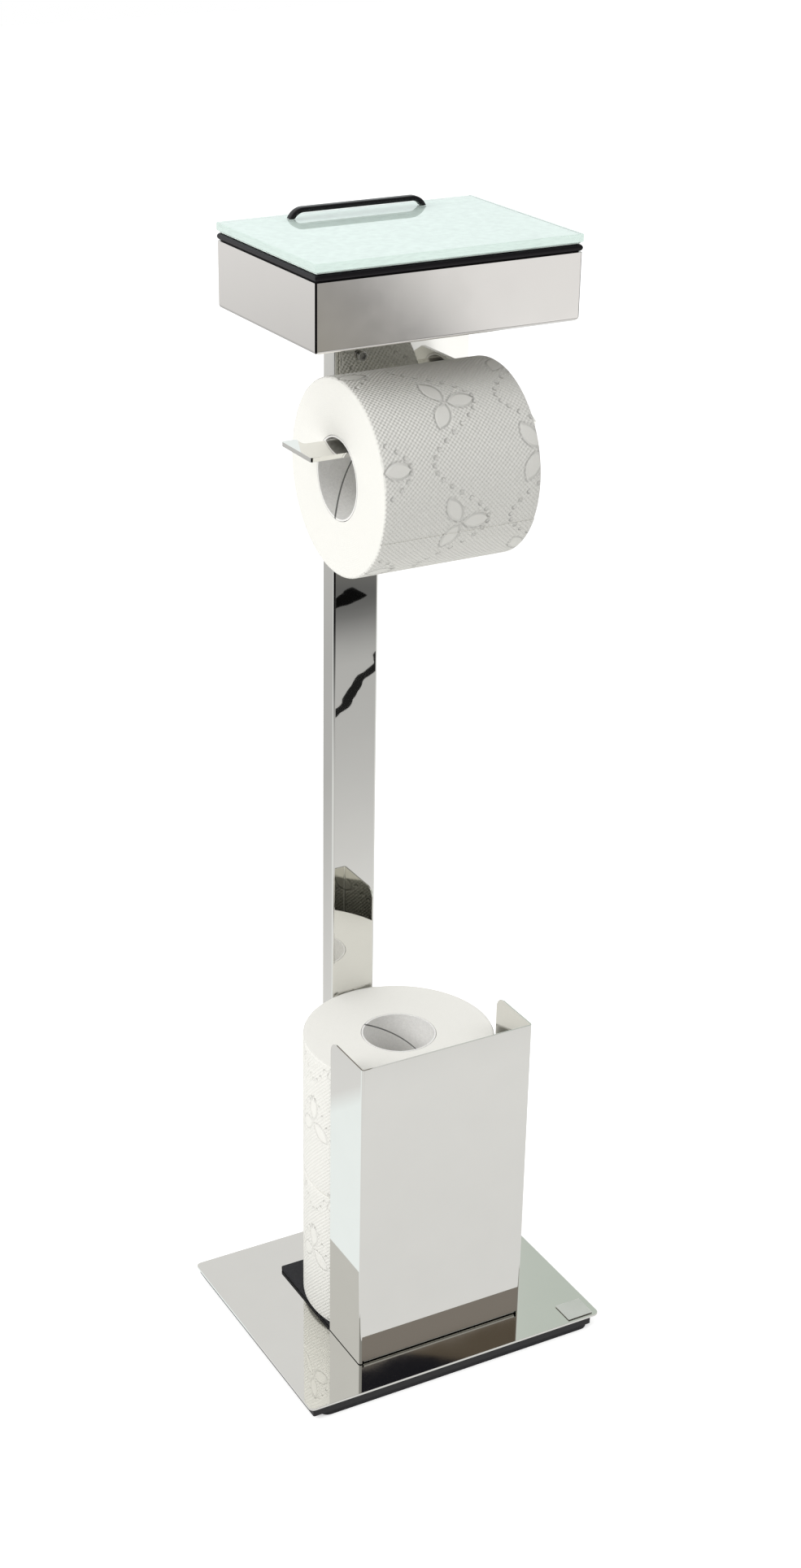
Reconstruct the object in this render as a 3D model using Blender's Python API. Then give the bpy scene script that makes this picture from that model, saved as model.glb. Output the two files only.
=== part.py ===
"""A standing toilet butler, in metres, +Z up, -Y to the front, its origin on the floor under the base.

A weighted base carries a post and a folded holder with two spare rolls. A bent sheet bracket on the post
carries the roll arm and a folded wipes box, which a glass lid with a bow handle closes.
"""

import math

import bmesh
import bpy
from mathutils import Vector

# Fits shared by all pieces
SEAT_GAP = 0.0003
OVERRUN = 0.002
CORNER_STEPS = 4
BEND_STEPS = 4
SCREW_STEPS = 24
ROLL_STEPS = 72

# Base: a polished sheet over a black weight and a rubber underlay
BASE_WIDTH = 0.210
BASE_BACK_MARGIN = 0.0094
BASE_SHEET = 0.0015
BASE_CORNER_RADIUS = 0.0035
WEIGHT_THICKNESS = 0.005
WEIGHT_LEFT_INSET = 0.0025
WEIGHT_RIGHT_INSET = 0.006
WEIGHT_END_INSET = 0.001
WEIGHT_CORNER_RADIUS = 0.001
UNDERLAY_THICKNESS = 0.003
UNDERLAY_LEFT_INSET = 0.009
UNDERLAY_RIGHT_INSET = 0.0065
UNDERLAY_END_INSET = 0.0016
UNDERLAY_CORNER_RADIUS = 0.006

# Blank plate near the base's right front corner
BADGE_WIDTH = 0.018
BADGE_DEPTH = 0.0165
BADGE_THICKNESS = 0.0005
BADGE_SIDE_MARGIN = 0.0043
BADGE_FRONT_MARGIN = 0.0019
BADGE_CORNER_RADIUS = 0.0003

# Toilet rolls
ROLL_WIDTH = 0.0955
SPARE_ROLL_DIAMETER = 0.119
HANGING_ROLL_DIAMETER = 0.109
CORE_BORE_DIAMETER = 0.0442
CORE_WALL = 0.001
PAPER_EDGE_ROUND = 0.0006
TAIL_STEP = 0.0004
TAIL_ANGLE = math.radians(25.0)

# Holder for the spare rolls: front panel and two wings folded from one sheet
HOLDER_SHEET = 0.001
HOLDER_FRONT_MARGIN = 0.024
HOLDER_WING_DEPTH = 0.040
HOLDER_HEIGHT = 0.2163
HOLDER_FOOT_GAP = 0.0006
HOLDER_BEND_RADIUS = 0.0018
HOLDER_WING_TOP_RADIUS = 0.0075
HOLDER_SIDE_CLEARANCE = 0.00175
HOLDER_FLANGE_DEPTH = 0.020
HOLDER_RELIEF_WIDTH = 0.0012
HOLDER_RELIEF_HEIGHT = 0.002
STUD_DIAMETER = 0.004
STUD_SPACING = 0.060
STUD_POCKET_DIAMETER = 0.0095
NUT_ACROSS_FLATS = 0.007
NUT_HEIGHT = 0.0032
MAT_THICKNESS = 0.0028
MAT_DEPTH = 0.1105
MAT_CORNER_RADIUS = 0.0008

# Post
POST_WIDTH = 0.030
POST_DEPTH = 0.014
POST_WALL = 0.0012
POST_CORNER_RADIUS = 0.0015
FOOT_BLOCK_HEIGHT = 0.025
FOOT_SCREW_SPACING = 0.013
FOOT_SCREW_DIAMETER = 0.005
FOOT_SCREW_LENGTH = 0.020
FOOT_SCREW_HEAD_DIAMETER = 0.0095
FOOT_SCREW_HEAD_HEIGHT = 0.0028

# Wipes box
BOX_HEIGHT_OVER_BASE = 0.6353
BOX_WIDTH = 0.158
BOX_DEPTH = 0.115
BOX_WALL_HEIGHT = 0.0361
BOX_SHEET = 0.001
BOX_BEND_RADIUS = 0.002
BOX_SEAM_WIDTH = 0.0012
BOX_SEAM_RUN = 0.004
BOX_SCREW_SPACING = 0.046
BOX_SCREW_SETBACK = 0.026
BOX_SCREW_DIAMETER = 0.004
BOX_SCREW_LENGTH = 0.0036
BOX_SCREW_HEAD_DIAMETER = 0.0075
BOX_SCREW_HEAD_HEIGHT = 0.0022

# Black liner of the box, whose rounded rim shows between the steel and the lid
LINER_WALL = 0.0014
LINER_FLOOR = 0.0012
LINER_FLOOR_RISE = 0.0036
LINER_CORNER_RADIUS = 0.0008
LINER_FOOT_RADIUS = 0.002
RIM_HEIGHT = 0.0038
RIM_OVERHANG = 0.0003
RIM_STEPS = 6

# Lid
GLASS_OVERHANG = 0.0003
GLASS_THICKNESS = 0.0044
GLASS_EDGE = 0.0004
GLASS_CORNER_RADIUS = 0.0005
BACKING_THICKNESS = 0.0005
BACKING_INSET = 0.0012
LOCATOR_CLEARANCE = 0.0006
LOCATOR_PLATE = 0.0016
LOCATOR_LIP_HEIGHT = 0.0055
LOCATOR_WALL = 0.0016

# Bow handle on the lid
HANDLE_LENGTH = 0.084
HANDLE_HEIGHT = 0.0059
HANDLE_BAR_HEIGHT = 0.0028
HANDLE_BAR_DEPTH = 0.0055
HANDLE_BEND_RADIUS = 0.0094
HANDLE_EDGE_RADIUS = 0.0011
HANDLE_BACK_MARGIN = 0.0119
HANDLE_STUD_DIAMETER = 0.003
HANDLE_STUD_SETBACK = 0.0017
HANDLE_NUT_ACROSS_FLATS = 0.0055
HANDLE_NUT_HEIGHT = 0.0024

# Bent bracket: back plate, side strip, roll arm and the flange under the box
BRACKET_SHEET = 0.0025
BRACKET_BEND_RADIUS = 0.0035
BRACKET_LEFT_SETBACK = 0.0025
BRACKET_RIGHT_X = 0.070
BRACKET_PLATE_DROP = 0.0687
BRACKET_FLANGE_DEPTH = 0.045
BRACKET_FLANGE_SETBACK = 0.010
BRACKET_RELIEF_WIDTH = 0.0015
BRACKET_RELIEF_DEPTH = 0.0045
STRIP_HEIGHT = 0.0181
STRIP_TOE_HEIGHT = 0.004
ARM_WIDTH = 0.025
ARM_DROP_UNDER_BOX = 0.0609
ARM_FREE_END_X = -0.0695
ARM_NIB_REACH = 0.0095
ARM_NIB_LENGTH = 0.0085
ARM_NIB_FILLET = 0.0025
ARM_CORNER_RADIUS = 0.0012
HANGING_ROLL_X = 0.0005
HANGING_ROLL_BACK_CLEARANCE = 0.0073
ARM_CORE_CLEARANCE = 0.0004
PLATE_SCREW_DIAMETER = 0.003
PLATE_SCREW_LENGTH = 0.009
PLATE_SCREW_HEAD_DIAMETER = 0.0055
PLATE_SCREW_HEAD_HEIGHT = 0.003
PLATE_SCREW_DROP = 0.0317
PLATE_SCREW_SPACING = 0.024
HEAD_BLOCK_MARGIN = 0.010
SOCKET_SHARE = 0.52
SOCKET_DEPTH_SHARE = 0.55

# Heights, from the floor up
WEIGHT_BOTTOM = UNDERLAY_THICKNESS + SEAT_GAP
WEIGHT_TOP = WEIGHT_BOTTOM + WEIGHT_THICKNESS
BASE_BOTTOM = WEIGHT_TOP + SEAT_GAP
BASE_TOP = BASE_BOTTOM + BASE_SHEET
MAT_BOTTOM = BASE_TOP + SEAT_GAP
MAT_TOP = MAT_BOTTOM + MAT_THICKNESS
LOWER_ROLL_BOTTOM = MAT_TOP + SEAT_GAP
UPPER_ROLL_BOTTOM = LOWER_ROLL_BOTTOM + ROLL_WIDTH + SEAT_GAP
BOX_BOTTOM = BASE_TOP + BOX_HEIGHT_OVER_BASE
BOX_WALL_TOP = BOX_BOTTOM + BOX_WALL_HEIGHT
RIM_BOTTOM = BOX_WALL_TOP + SEAT_GAP
RIM_TOP = RIM_BOTTOM + RIM_HEIGHT
BACKING_BOTTOM = RIM_TOP + SEAT_GAP
GLASS_BOTTOM = BACKING_BOTTOM + BACKING_THICKNESS + SEAT_GAP
GLASS_TOP = GLASS_BOTTOM + GLASS_THICKNESS
LOCATOR_TOP = BACKING_BOTTOM - SEAT_GAP
POST_BOTTOM = BASE_TOP + SEAT_GAP
POST_TOP = BOX_BOTTOM - SEAT_GAP
FLANGE_TOP = BOX_BOTTOM - SEAT_GAP
ARM_TOP = BOX_BOTTOM - ARM_DROP_UNDER_BOX
ARM_BOTTOM = ARM_TOP - BRACKET_SHEET
PLATE_SCREW_HEIGHTS = (BOX_BOTTOM - PLATE_SCREW_DROP, BOX_BOTTOM - PLATE_SCREW_DROP - PLATE_SCREW_SPACING)

# Places from front to back
HOLDER_TO_POST = HOLDER_SHEET + SEAT_GAP + SPARE_ROLL_DIAMETER + SEAT_GAP
BASE_DEPTH = HOLDER_FRONT_MARGIN + HOLDER_TO_POST + POST_DEPTH + BASE_BACK_MARGIN
HOLDER_FRONT_Y = -BASE_DEPTH / 2 + HOLDER_FRONT_MARGIN
HOLDER_WING_BACK_Y = HOLDER_FRONT_Y + HOLDER_WING_DEPTH
SPARE_ROLL_RADIUS = SPARE_ROLL_DIAMETER / 2
SPARE_ROLL_Y = HOLDER_FRONT_Y + HOLDER_SHEET + SEAT_GAP + SPARE_ROLL_RADIUS
POST_FRONT_Y = SPARE_ROLL_Y + SPARE_ROLL_RADIUS + SEAT_GAP
POST_Y = POST_FRONT_Y + POST_DEPTH / 2
POST_BACK_Y = POST_FRONT_Y + POST_DEPTH
BRACKET_BACK_Y = POST_FRONT_Y - SEAT_GAP
BRACKET_FRONT_Y = BRACKET_BACK_Y - BRACKET_SHEET
HANGING_ROLL_RADIUS = HANGING_ROLL_DIAMETER / 2
HANGING_ROLL_Y = BRACKET_FRONT_Y - HANGING_ROLL_BACK_CLEARANCE - HANGING_ROLL_RADIUS
BOX_Y = POST_BACK_Y - BOX_DEPTH / 2
GLASS_WIDTH = BOX_WIDTH + 2 * GLASS_OVERHANG
GLASS_DEPTH = BOX_DEPTH + 2 * GLASS_OVERHANG
HANDLE_Y = BOX_Y + GLASS_DEPTH / 2 - HANDLE_BACK_MARGIN
HANDLE_STUD_X = HANDLE_LENGTH / 2 - HANDLE_STUD_SETBACK

# The roll hangs by its core on the arm's two upper edges
CORE_BORE_RADIUS = CORE_BORE_DIAMETER / 2
CORE_RADIUS = CORE_BORE_RADIUS + CORE_WALL
ARM_UNDER_CORE_TOP = math.sqrt((CORE_BORE_RADIUS - ARM_CORE_CLEARANCE) ** 2 - (ARM_WIDTH / 2) ** 2)
HANGING_ROLL_Z = ARM_TOP - ARM_UNDER_CORE_TOP

# The holder is as wide as the roll where its wings end
ROLL_HALF_CHORD = math.sqrt(SPARE_ROLL_RADIUS ** 2 - (SPARE_ROLL_Y - HOLDER_WING_BACK_Y) ** 2)
HOLDER_INNER_HALF_WIDTH = ROLL_HALF_CHORD + HOLDER_SIDE_CLEARANCE
HOLDER_HALF_WIDTH = HOLDER_INNER_HALF_WIDTH + HOLDER_SHEET
HOLDER_BOTTOM = BASE_TOP + HOLDER_FOOT_GAP
HOLDER_TOP = BASE_TOP + HOLDER_HEIGHT
STUD_Y = HOLDER_FRONT_Y + HOLDER_FLANGE_DEPTH / 2
STUD_PLACES = ((-STUD_SPACING / 2, STUD_Y), (STUD_SPACING / 2, STUD_Y))
FOOT_SCREW_PLACES = ((-FOOT_SCREW_SPACING / 2, POST_Y), (FOOT_SCREW_SPACING / 2, POST_Y))

# The flange under the box starts at the bracket's left edge
BRACKET_LEFT_X = -POST_WIDTH / 2 + BRACKET_LEFT_SETBACK
FLANGE_RIGHT_X = BRACKET_RIGHT_X - BRACKET_FLANGE_SETBACK
FLANGE_MIDDLE_X = (BRACKET_LEFT_X + FLANGE_RIGHT_X) / 2
BOX_SCREW_Y = BRACKET_BACK_Y - BOX_SCREW_SETBACK
BOX_SCREW_PLACES = (
    (FLANGE_MIDDLE_X - BOX_SCREW_SPACING / 2, BOX_SCREW_Y),
    (FLANGE_MIDDLE_X + BOX_SCREW_SPACING / 2, BOX_SCREW_Y),
)

# Colours are linear, as the material reads them
MIRROR_STEEL = ((0.62, 0.62, 0.59, 1.0), 0.06, 1.0)
PLAIN_STEEL = ((0.45, 0.45, 0.44, 1.0), 0.35, 1.0)
BLACK_PAINT = ((0.012, 0.011, 0.014, 1.0), 0.5, 0.0)
BLACK_RUBBER = ((0.012, 0.011, 0.013, 1.0), 0.8, 0.0)
BLACK_PLASTIC = ((0.010, 0.009, 0.012, 1.0), 0.35, 0.0)
WHITE_LACQUER = ((0.85, 0.88, 0.86, 1.0), 0.3, 0.0)
CLEAR_GLASS = ((0.86, 0.96, 0.92, 1.0), 0.02, 0.0)
PAPER_WHITE = ((0.86, 0.86, 0.84, 1.0), 0.9, 0.0)
CORE_GREY = ((0.55, 0.53, 0.52, 1.0), 0.9, 0.0)


def clear_scene():
    """Remove whatever the file holds."""
    for item in list(bpy.data.objects):
        bpy.data.objects.remove(item, do_unlink=True)


def make_material(name, finish):
    """One Principled material for one sub-part."""
    colour, roughness, metallic = finish
    material = bpy.data.materials.new(name)
    material.use_nodes = True
    shader = material.node_tree.nodes["Principled BSDF"]
    shader.inputs["Base Color"].default_value = colour
    shader.inputs["Roughness"].default_value = roughness
    shader.inputs["Metallic"].default_value = metallic
    material.diffuse_color = colour
    return material


def add_object(name, mesh_data, finish=None, place=(0, 0, 0), turn=(0, 0, 0)):
    """Turn a bmesh into a named object."""
    bmesh.ops.recalc_face_normals(mesh_data, faces=mesh_data.faces)
    mesh = bpy.data.meshes.new(name)
    mesh_data.to_mesh(mesh)
    mesh_data.free()
    item = bpy.data.objects.new(name, mesh)
    item.location = place
    item.rotation_euler = turn
    bpy.context.scene.collection.objects.link(item)
    if finish:
        mesh.materials.append(make_material(name, finish))
        mesh.shade_smooth()
        mesh.set_sharp_from_angle(angle=math.radians(30))
    return item


def gather(name, place, items):
    """Put the pieces of one moving body under an empty that stands on its joint axis."""
    empty = bpy.data.objects.new(name, None)
    empty.location = place
    bpy.context.scene.collection.objects.link(empty)
    for item in items:
        item.parent = empty
        item.location = item.location - empty.location


def rounded_rectangle(width, depth, radius, centre=(0, 0)):
    """Corners of a rectangle as arcs, counter-clockwise from the right side."""
    points = []
    middles = ((1, 1), (-1, 1), (-1, -1), (1, -1))
    for corner, (side_x, side_y) in enumerate(middles):
        middle_x = centre[0] + side_x * (width / 2 - radius)
        middle_y = centre[1] + side_y * (depth / 2 - radius)
        for step in range(CORNER_STEPS + 1):
            angle = (corner + step / CORNER_STEPS) * math.pi / 2
            points.append((middle_x + radius * math.cos(angle), middle_y + radius * math.sin(angle)))
    return points


def circle(radius, steps, centre=(0, 0)):
    """A regular outline with a corner on +X."""
    angles = [2 * math.pi * step / steps for step in range(steps)]
    return [(centre[0] + radius * math.cos(a), centre[1] + radius * math.sin(a)) for a in angles]


def hexagon(across_flats, centre=(0, 0)):
    """A hexagon's six corners."""
    return circle(across_flats / (2 * math.cos(math.pi / 6)), 6, centre)


def arc(centre, radius, start, end, steps):
    """Points on an arc, its angles in quarter turns."""
    points = []
    for step in range(steps + 1):
        angle = (start + (end - start) * step / steps) * math.pi / 2
        points.append((centre[0] + radius * math.cos(angle), centre[1] + radius * math.sin(angle)))
    return points


def raise_outline(mesh_data, outline, bottom, top):
    """Extrude a flat outline from one height to another."""
    face = mesh_data.faces.new([mesh_data.verts.new((x, y, bottom)) for x, y in outline])
    raised = bmesh.ops.extrude_face_region(mesh_data, geom=[face])
    verts = [part for part in raised["geom"] if isinstance(part, bmesh.types.BMVert)]
    bmesh.ops.translate(mesh_data, verts=verts, vec=(0, 0, top - bottom))


def prism(outline, bottom, top):
    """A solid standing on a flat outline."""
    mesh_data = bmesh.new()
    raise_outline(mesh_data, outline, bottom, top)
    return mesh_data


def pins(outlines, bottom, top):
    """Several upright solids that a cut or a union uses together."""
    mesh_data = bmesh.new()
    for outline in outlines:
        raise_outline(mesh_data, outline, bottom, top)
    return mesh_data


def ease_rims(mesh_data, width, steps=1):
    """Bevel the edges between the flat ends and the sides of an upright solid."""
    heights = [vert.co.z for vert in mesh_data.verts]
    low, high = min(heights), max(heights)
    rims = [edge for edge in mesh_data.edges if is_level(edge, low) or is_level(edge, high)]
    bmesh.ops.bevel(mesh_data, geom=rims, offset=width, segments=steps, profile=0.5, affect="EDGES")
    return mesh_data


def is_level(edge, height):
    """True if both ends of an edge lie at one height."""
    return all(math.isclose(vert.co.z, height, abs_tol=SEAT_GAP / 100) for vert in edge.verts)


def stacked_rings(rings, is_tube=False):
    """Join level rings of equal length in order, closed by a face at each end or back to the first ring."""
    mesh_data = bmesh.new()
    loops = [[mesh_data.verts.new((x, y, height)) for x, y in outline] for outline, height in rings]
    following = loops[1:] + loops[:1] if is_tube else loops[1:]
    for low, high in zip(loops, following):
        corners = list(zip(low, high))
        for (low_start, high_start), (low_end, high_end) in zip(corners, corners[1:] + corners[:1]):
            mesh_data.faces.new((low_start, low_end, high_end, high_start))
    if not is_tube:
        mesh_data.faces.new(loops[0])
        mesh_data.faces.new(loops[-1])
    return mesh_data


def turned(profile, steps, closed=False):
    """Spin a profile of radii and heights round the Z axis."""
    mesh_data = bmesh.new()
    verts = [mesh_data.verts.new((radius, 0, height)) for radius, height in profile]
    ends = verts[1:] + verts[:1] if closed else verts[1:]
    edges = [mesh_data.edges.new((a, b)) for a, b in zip(verts, ends)]
    bmesh.ops.spin(
        mesh_data,
        geom=verts + edges,
        cent=(0, 0, 0),
        axis=(0, 0, 1),
        angle=2 * math.pi,
        steps=steps,
        use_merge=True,
    )
    bmesh.ops.remove_doubles(mesh_data, verts=mesh_data.verts, dist=SEAT_GAP / 100)
    return mesh_data


def combine(target, tool_name, mesh_data, operation="DIFFERENCE", place=(0, 0, 0), turn=(0, 0, 0)):
    """Cut a shape out of a piece, or join it on, with an exact Boolean."""
    tool = add_object(tool_name, mesh_data, None, place, turn)
    tool.hide_render = True
    tool.display_type = "WIRE"
    modifier = target.modifiers.new(tool_name, "BOOLEAN")
    modifier.operation = operation
    modifier.solver = "EXACT"
    modifier.object = tool


def folded_sheet(name, corners, panels, radius, thickness, finish):
    """One bent sheet from flat panels that share fold lines, thickened towards its inner side."""
    mesh_data = bmesh.new()
    verts = {key: mesh_data.verts.new(point) for key, point in corners.items()}
    for panel in panels:
        mesh_data.faces.new([verts[key] for key in panel])
    folds = [edge for edge in mesh_data.edges if len(edge.link_faces) == 2]
    bmesh.ops.bevel(
        mesh_data, geom=folds, offset=radius, offset_type="OFFSET", segments=BEND_STEPS, profile=0.5, affect="EDGES"
    )
    mesh = bpy.data.meshes.new(name)
    mesh_data.to_mesh(mesh)
    mesh_data.free()
    mesh.materials.append(make_material(name, finish))
    mesh.shade_smooth()
    mesh.set_sharp_from_angle(angle=math.radians(35))
    item = bpy.data.objects.new(name, mesh)
    bpy.context.scene.collection.objects.link(item)
    shell = item.modifiers.new("thickness", "SOLIDIFY")
    shell.thickness = thickness
    shell.offset = -1
    shell.use_even_offset = True
    shell.use_quality_normals = True
    return item


def inset_outline(left_inset, right_inset, end_inset, radius):
    """The base's rectangle drawn in at its left, its right and both ends."""
    width = BASE_WIDTH - left_inset - right_inset
    centre = ((left_inset - right_inset) / 2, 0)
    return rounded_rectangle(width, BASE_DEPTH - 2 * end_inset, radius, centre)


def build_base():
    """Polished sheet, weight and underlay, with the holes that the screws and studs pass through."""
    foot_holes = [circle(FOOT_SCREW_DIAMETER / 2 + SEAT_GAP, SCREW_STEPS, place) for place in FOOT_SCREW_PLACES]
    stud_holes = [circle(STUD_DIAMETER / 2 + SEAT_GAP, SCREW_STEPS, place) for place in STUD_PLACES]
    holes = foot_holes + stud_holes

    outline = rounded_rectangle(BASE_WIDTH, BASE_DEPTH, BASE_CORNER_RADIUS)
    plate = add_object("base_plate", prism(outline, BASE_BOTTOM, BASE_TOP), MIRROR_STEEL)
    combine(plate, "base_plate_holes", pins(holes, BASE_BOTTOM - OVERRUN, BASE_TOP + OVERRUN))

    outline = inset_outline(WEIGHT_LEFT_INSET, WEIGHT_RIGHT_INSET, WEIGHT_END_INSET, WEIGHT_CORNER_RADIUS)
    weight = add_object("base_weight", prism(outline, WEIGHT_BOTTOM, WEIGHT_TOP), BLACK_PAINT)
    for side, screw_place, stud_place in zip(("left", "right"), FOOT_SCREW_PLACES, STUD_PLACES):
        combine(weight, f"screw_bore_{side}", screw_bore(), place=(*screw_place, WEIGHT_BOTTOM))
        combine(weight, f"nut_bore_{side}", nut_bore(), place=(*stud_place, WEIGHT_BOTTOM))

    outline = inset_outline(UNDERLAY_LEFT_INSET, UNDERLAY_RIGHT_INSET, UNDERLAY_END_INSET, UNDERLAY_CORNER_RADIUS)
    add_object("base_underlay", prism(outline, 0, UNDERLAY_THICKNESS), BLACK_RUBBER)


def screw_bore():
    """A countersunk hole up through the weight."""
    head_radius = FOOT_SCREW_HEAD_DIAMETER / 2 + SEAT_GAP
    shank_radius = FOOT_SCREW_DIAMETER / 2 + SEAT_GAP
    head_top = 2 * SEAT_GAP + FOOT_SCREW_HEAD_HEIGHT
    top = WEIGHT_THICKNESS + OVERRUN
    profile = [
        (0, -OVERRUN),
        (head_radius, -OVERRUN),
        (head_radius, 2 * SEAT_GAP),
        (shank_radius, head_top),
        (shank_radius, top),
        (0, top),
    ]
    return turned(profile, SCREW_STEPS)


def nut_bore():
    """A hole for a stud, widened below for its nut."""
    pocket_radius = STUD_POCKET_DIAMETER / 2
    stud_radius = STUD_DIAMETER / 2 + SEAT_GAP
    pocket_top = 2 * SEAT_GAP + NUT_HEIGHT
    top = WEIGHT_THICKNESS + OVERRUN
    profile = [
        (0, -OVERRUN),
        (pocket_radius, -OVERRUN),
        (pocket_radius, pocket_top),
        (stud_radius, pocket_top),
        (stud_radius, top),
        (0, top),
    ]
    return turned(profile, SCREW_STEPS)


def build_badge():
    """The bare plate on the base's right front corner."""
    centre = (
        BASE_WIDTH / 2 - BADGE_SIDE_MARGIN - BADGE_WIDTH / 2,
        -BASE_DEPTH / 2 + BADGE_FRONT_MARGIN + BADGE_DEPTH / 2,
    )
    outline = rounded_rectangle(BADGE_WIDTH, BADGE_DEPTH, BADGE_CORNER_RADIUS, centre)
    bottom = BASE_TOP + SEAT_GAP
    add_object("badge_plate", prism(outline, bottom, bottom + BADGE_THICKNESS), PLAIN_STEEL)


def build_foot_screws():
    """Two countersunk screws from under the weight into the post's foot block."""
    head_radius = FOOT_SCREW_HEAD_DIAMETER / 2
    shank_radius = FOOT_SCREW_DIAMETER / 2
    profile = [
        (0, 0),
        (head_radius, 0),
        (head_radius, SEAT_GAP),
        (shank_radius, FOOT_SCREW_HEAD_HEIGHT),
        (shank_radius, FOOT_SCREW_LENGTH),
        (0, FOOT_SCREW_LENGTH),
    ]
    for side, place in zip(("left", "right"), FOOT_SCREW_PLACES):
        bottom = WEIGHT_BOTTOM + SEAT_GAP
        screw = add_object(f"post_screw_{side}", turned(profile, SCREW_STEPS), PLAIN_STEEL, (*place, bottom))
        socket = hexagon(FOOT_SCREW_HEAD_DIAMETER * SOCKET_SHARE * SOCKET_SHARE, place)
        socket_top = bottom + FOOT_SCREW_HEAD_HEIGHT * SOCKET_DEPTH_SHARE
        combine(screw, f"post_screw_{side}_socket", prism(socket, bottom - OVERRUN, socket_top))


def build_post():
    """Rectangular tube with a screw block in its foot and one behind the bracket's screws."""
    inner_width = POST_WIDTH - 2 * POST_WALL
    inner_depth = POST_DEPTH - 2 * POST_WALL
    inner_radius = POST_CORNER_RADIUS - POST_WALL
    outer = rounded_rectangle(POST_WIDTH, POST_DEPTH, POST_CORNER_RADIUS, (0, POST_Y))
    inner = rounded_rectangle(inner_width, inner_depth, inner_radius, (0, POST_Y))
    rings = [(outer, POST_BOTTOM), (outer, POST_TOP), (inner, POST_TOP), (inner, POST_BOTTOM)]
    tube = add_object("post_tube", stacked_rings(rings, is_tube=True), MIRROR_STEEL)
    front = POST_FRONT_Y - OVERRUN
    combine(tube, "post_tube_holes", plate_screw_holes(front, POST_FRONT_Y + POST_WALL + OVERRUN / 2))

    width = inner_width - 2 * SEAT_GAP
    depth = inner_depth - 2 * SEAT_GAP
    block = rounded_rectangle(width, depth, inner_radius, (0, POST_Y))
    foot = add_object("post_foot_block", prism(block, POST_BOTTOM, POST_BOTTOM + FOOT_BLOCK_HEIGHT), PLAIN_STEEL)
    holes = [circle(FOOT_SCREW_DIAMETER / 2 + SEAT_GAP, SCREW_STEPS, place) for place in FOOT_SCREW_PLACES]
    combine(foot, "post_foot_block_holes", pins(holes, POST_BOTTOM - OVERRUN, POST_BOTTOM + FOOT_BLOCK_HEIGHT + OVERRUN))

    top = PLATE_SCREW_HEIGHTS[0] + HEAD_BLOCK_MARGIN
    bottom = PLATE_SCREW_HEIGHTS[1] - HEAD_BLOCK_MARGIN
    head = add_object("post_head_block", prism(block, bottom, top), PLAIN_STEEL)
    combine(head, "post_head_block_holes", plate_screw_holes(front, POST_BACK_Y))


def plate_screw_holes(front, back):
    """Level cutters for the bracket's two screws."""
    mesh_data = pins([circle(PLATE_SCREW_DIAMETER / 2 + SEAT_GAP, SCREW_STEPS)], 0, back - front)
    bmesh.ops.rotate(mesh_data, verts=mesh_data.verts, matrix=turn_to_back())
    bmesh.ops.translate(mesh_data, verts=mesh_data.verts, vec=(0, front, PLATE_SCREW_HEIGHTS[0]))
    copy = bmesh.ops.duplicate(mesh_data, geom=mesh_data.verts[:] + mesh_data.edges[:] + mesh_data.faces[:])
    verts = [part for part in copy["geom"] if isinstance(part, bmesh.types.BMVert)]
    bmesh.ops.translate(mesh_data, verts=verts, vec=(0, 0, PLATE_SCREW_HEIGHTS[1] - PLATE_SCREW_HEIGHTS[0]))
    return mesh_data


def turn_to_back():
    """The turn that lays +Z along +Y."""
    return Vector((0, 0, 1)).rotation_difference(Vector((0, 1, 0))).to_matrix()


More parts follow.
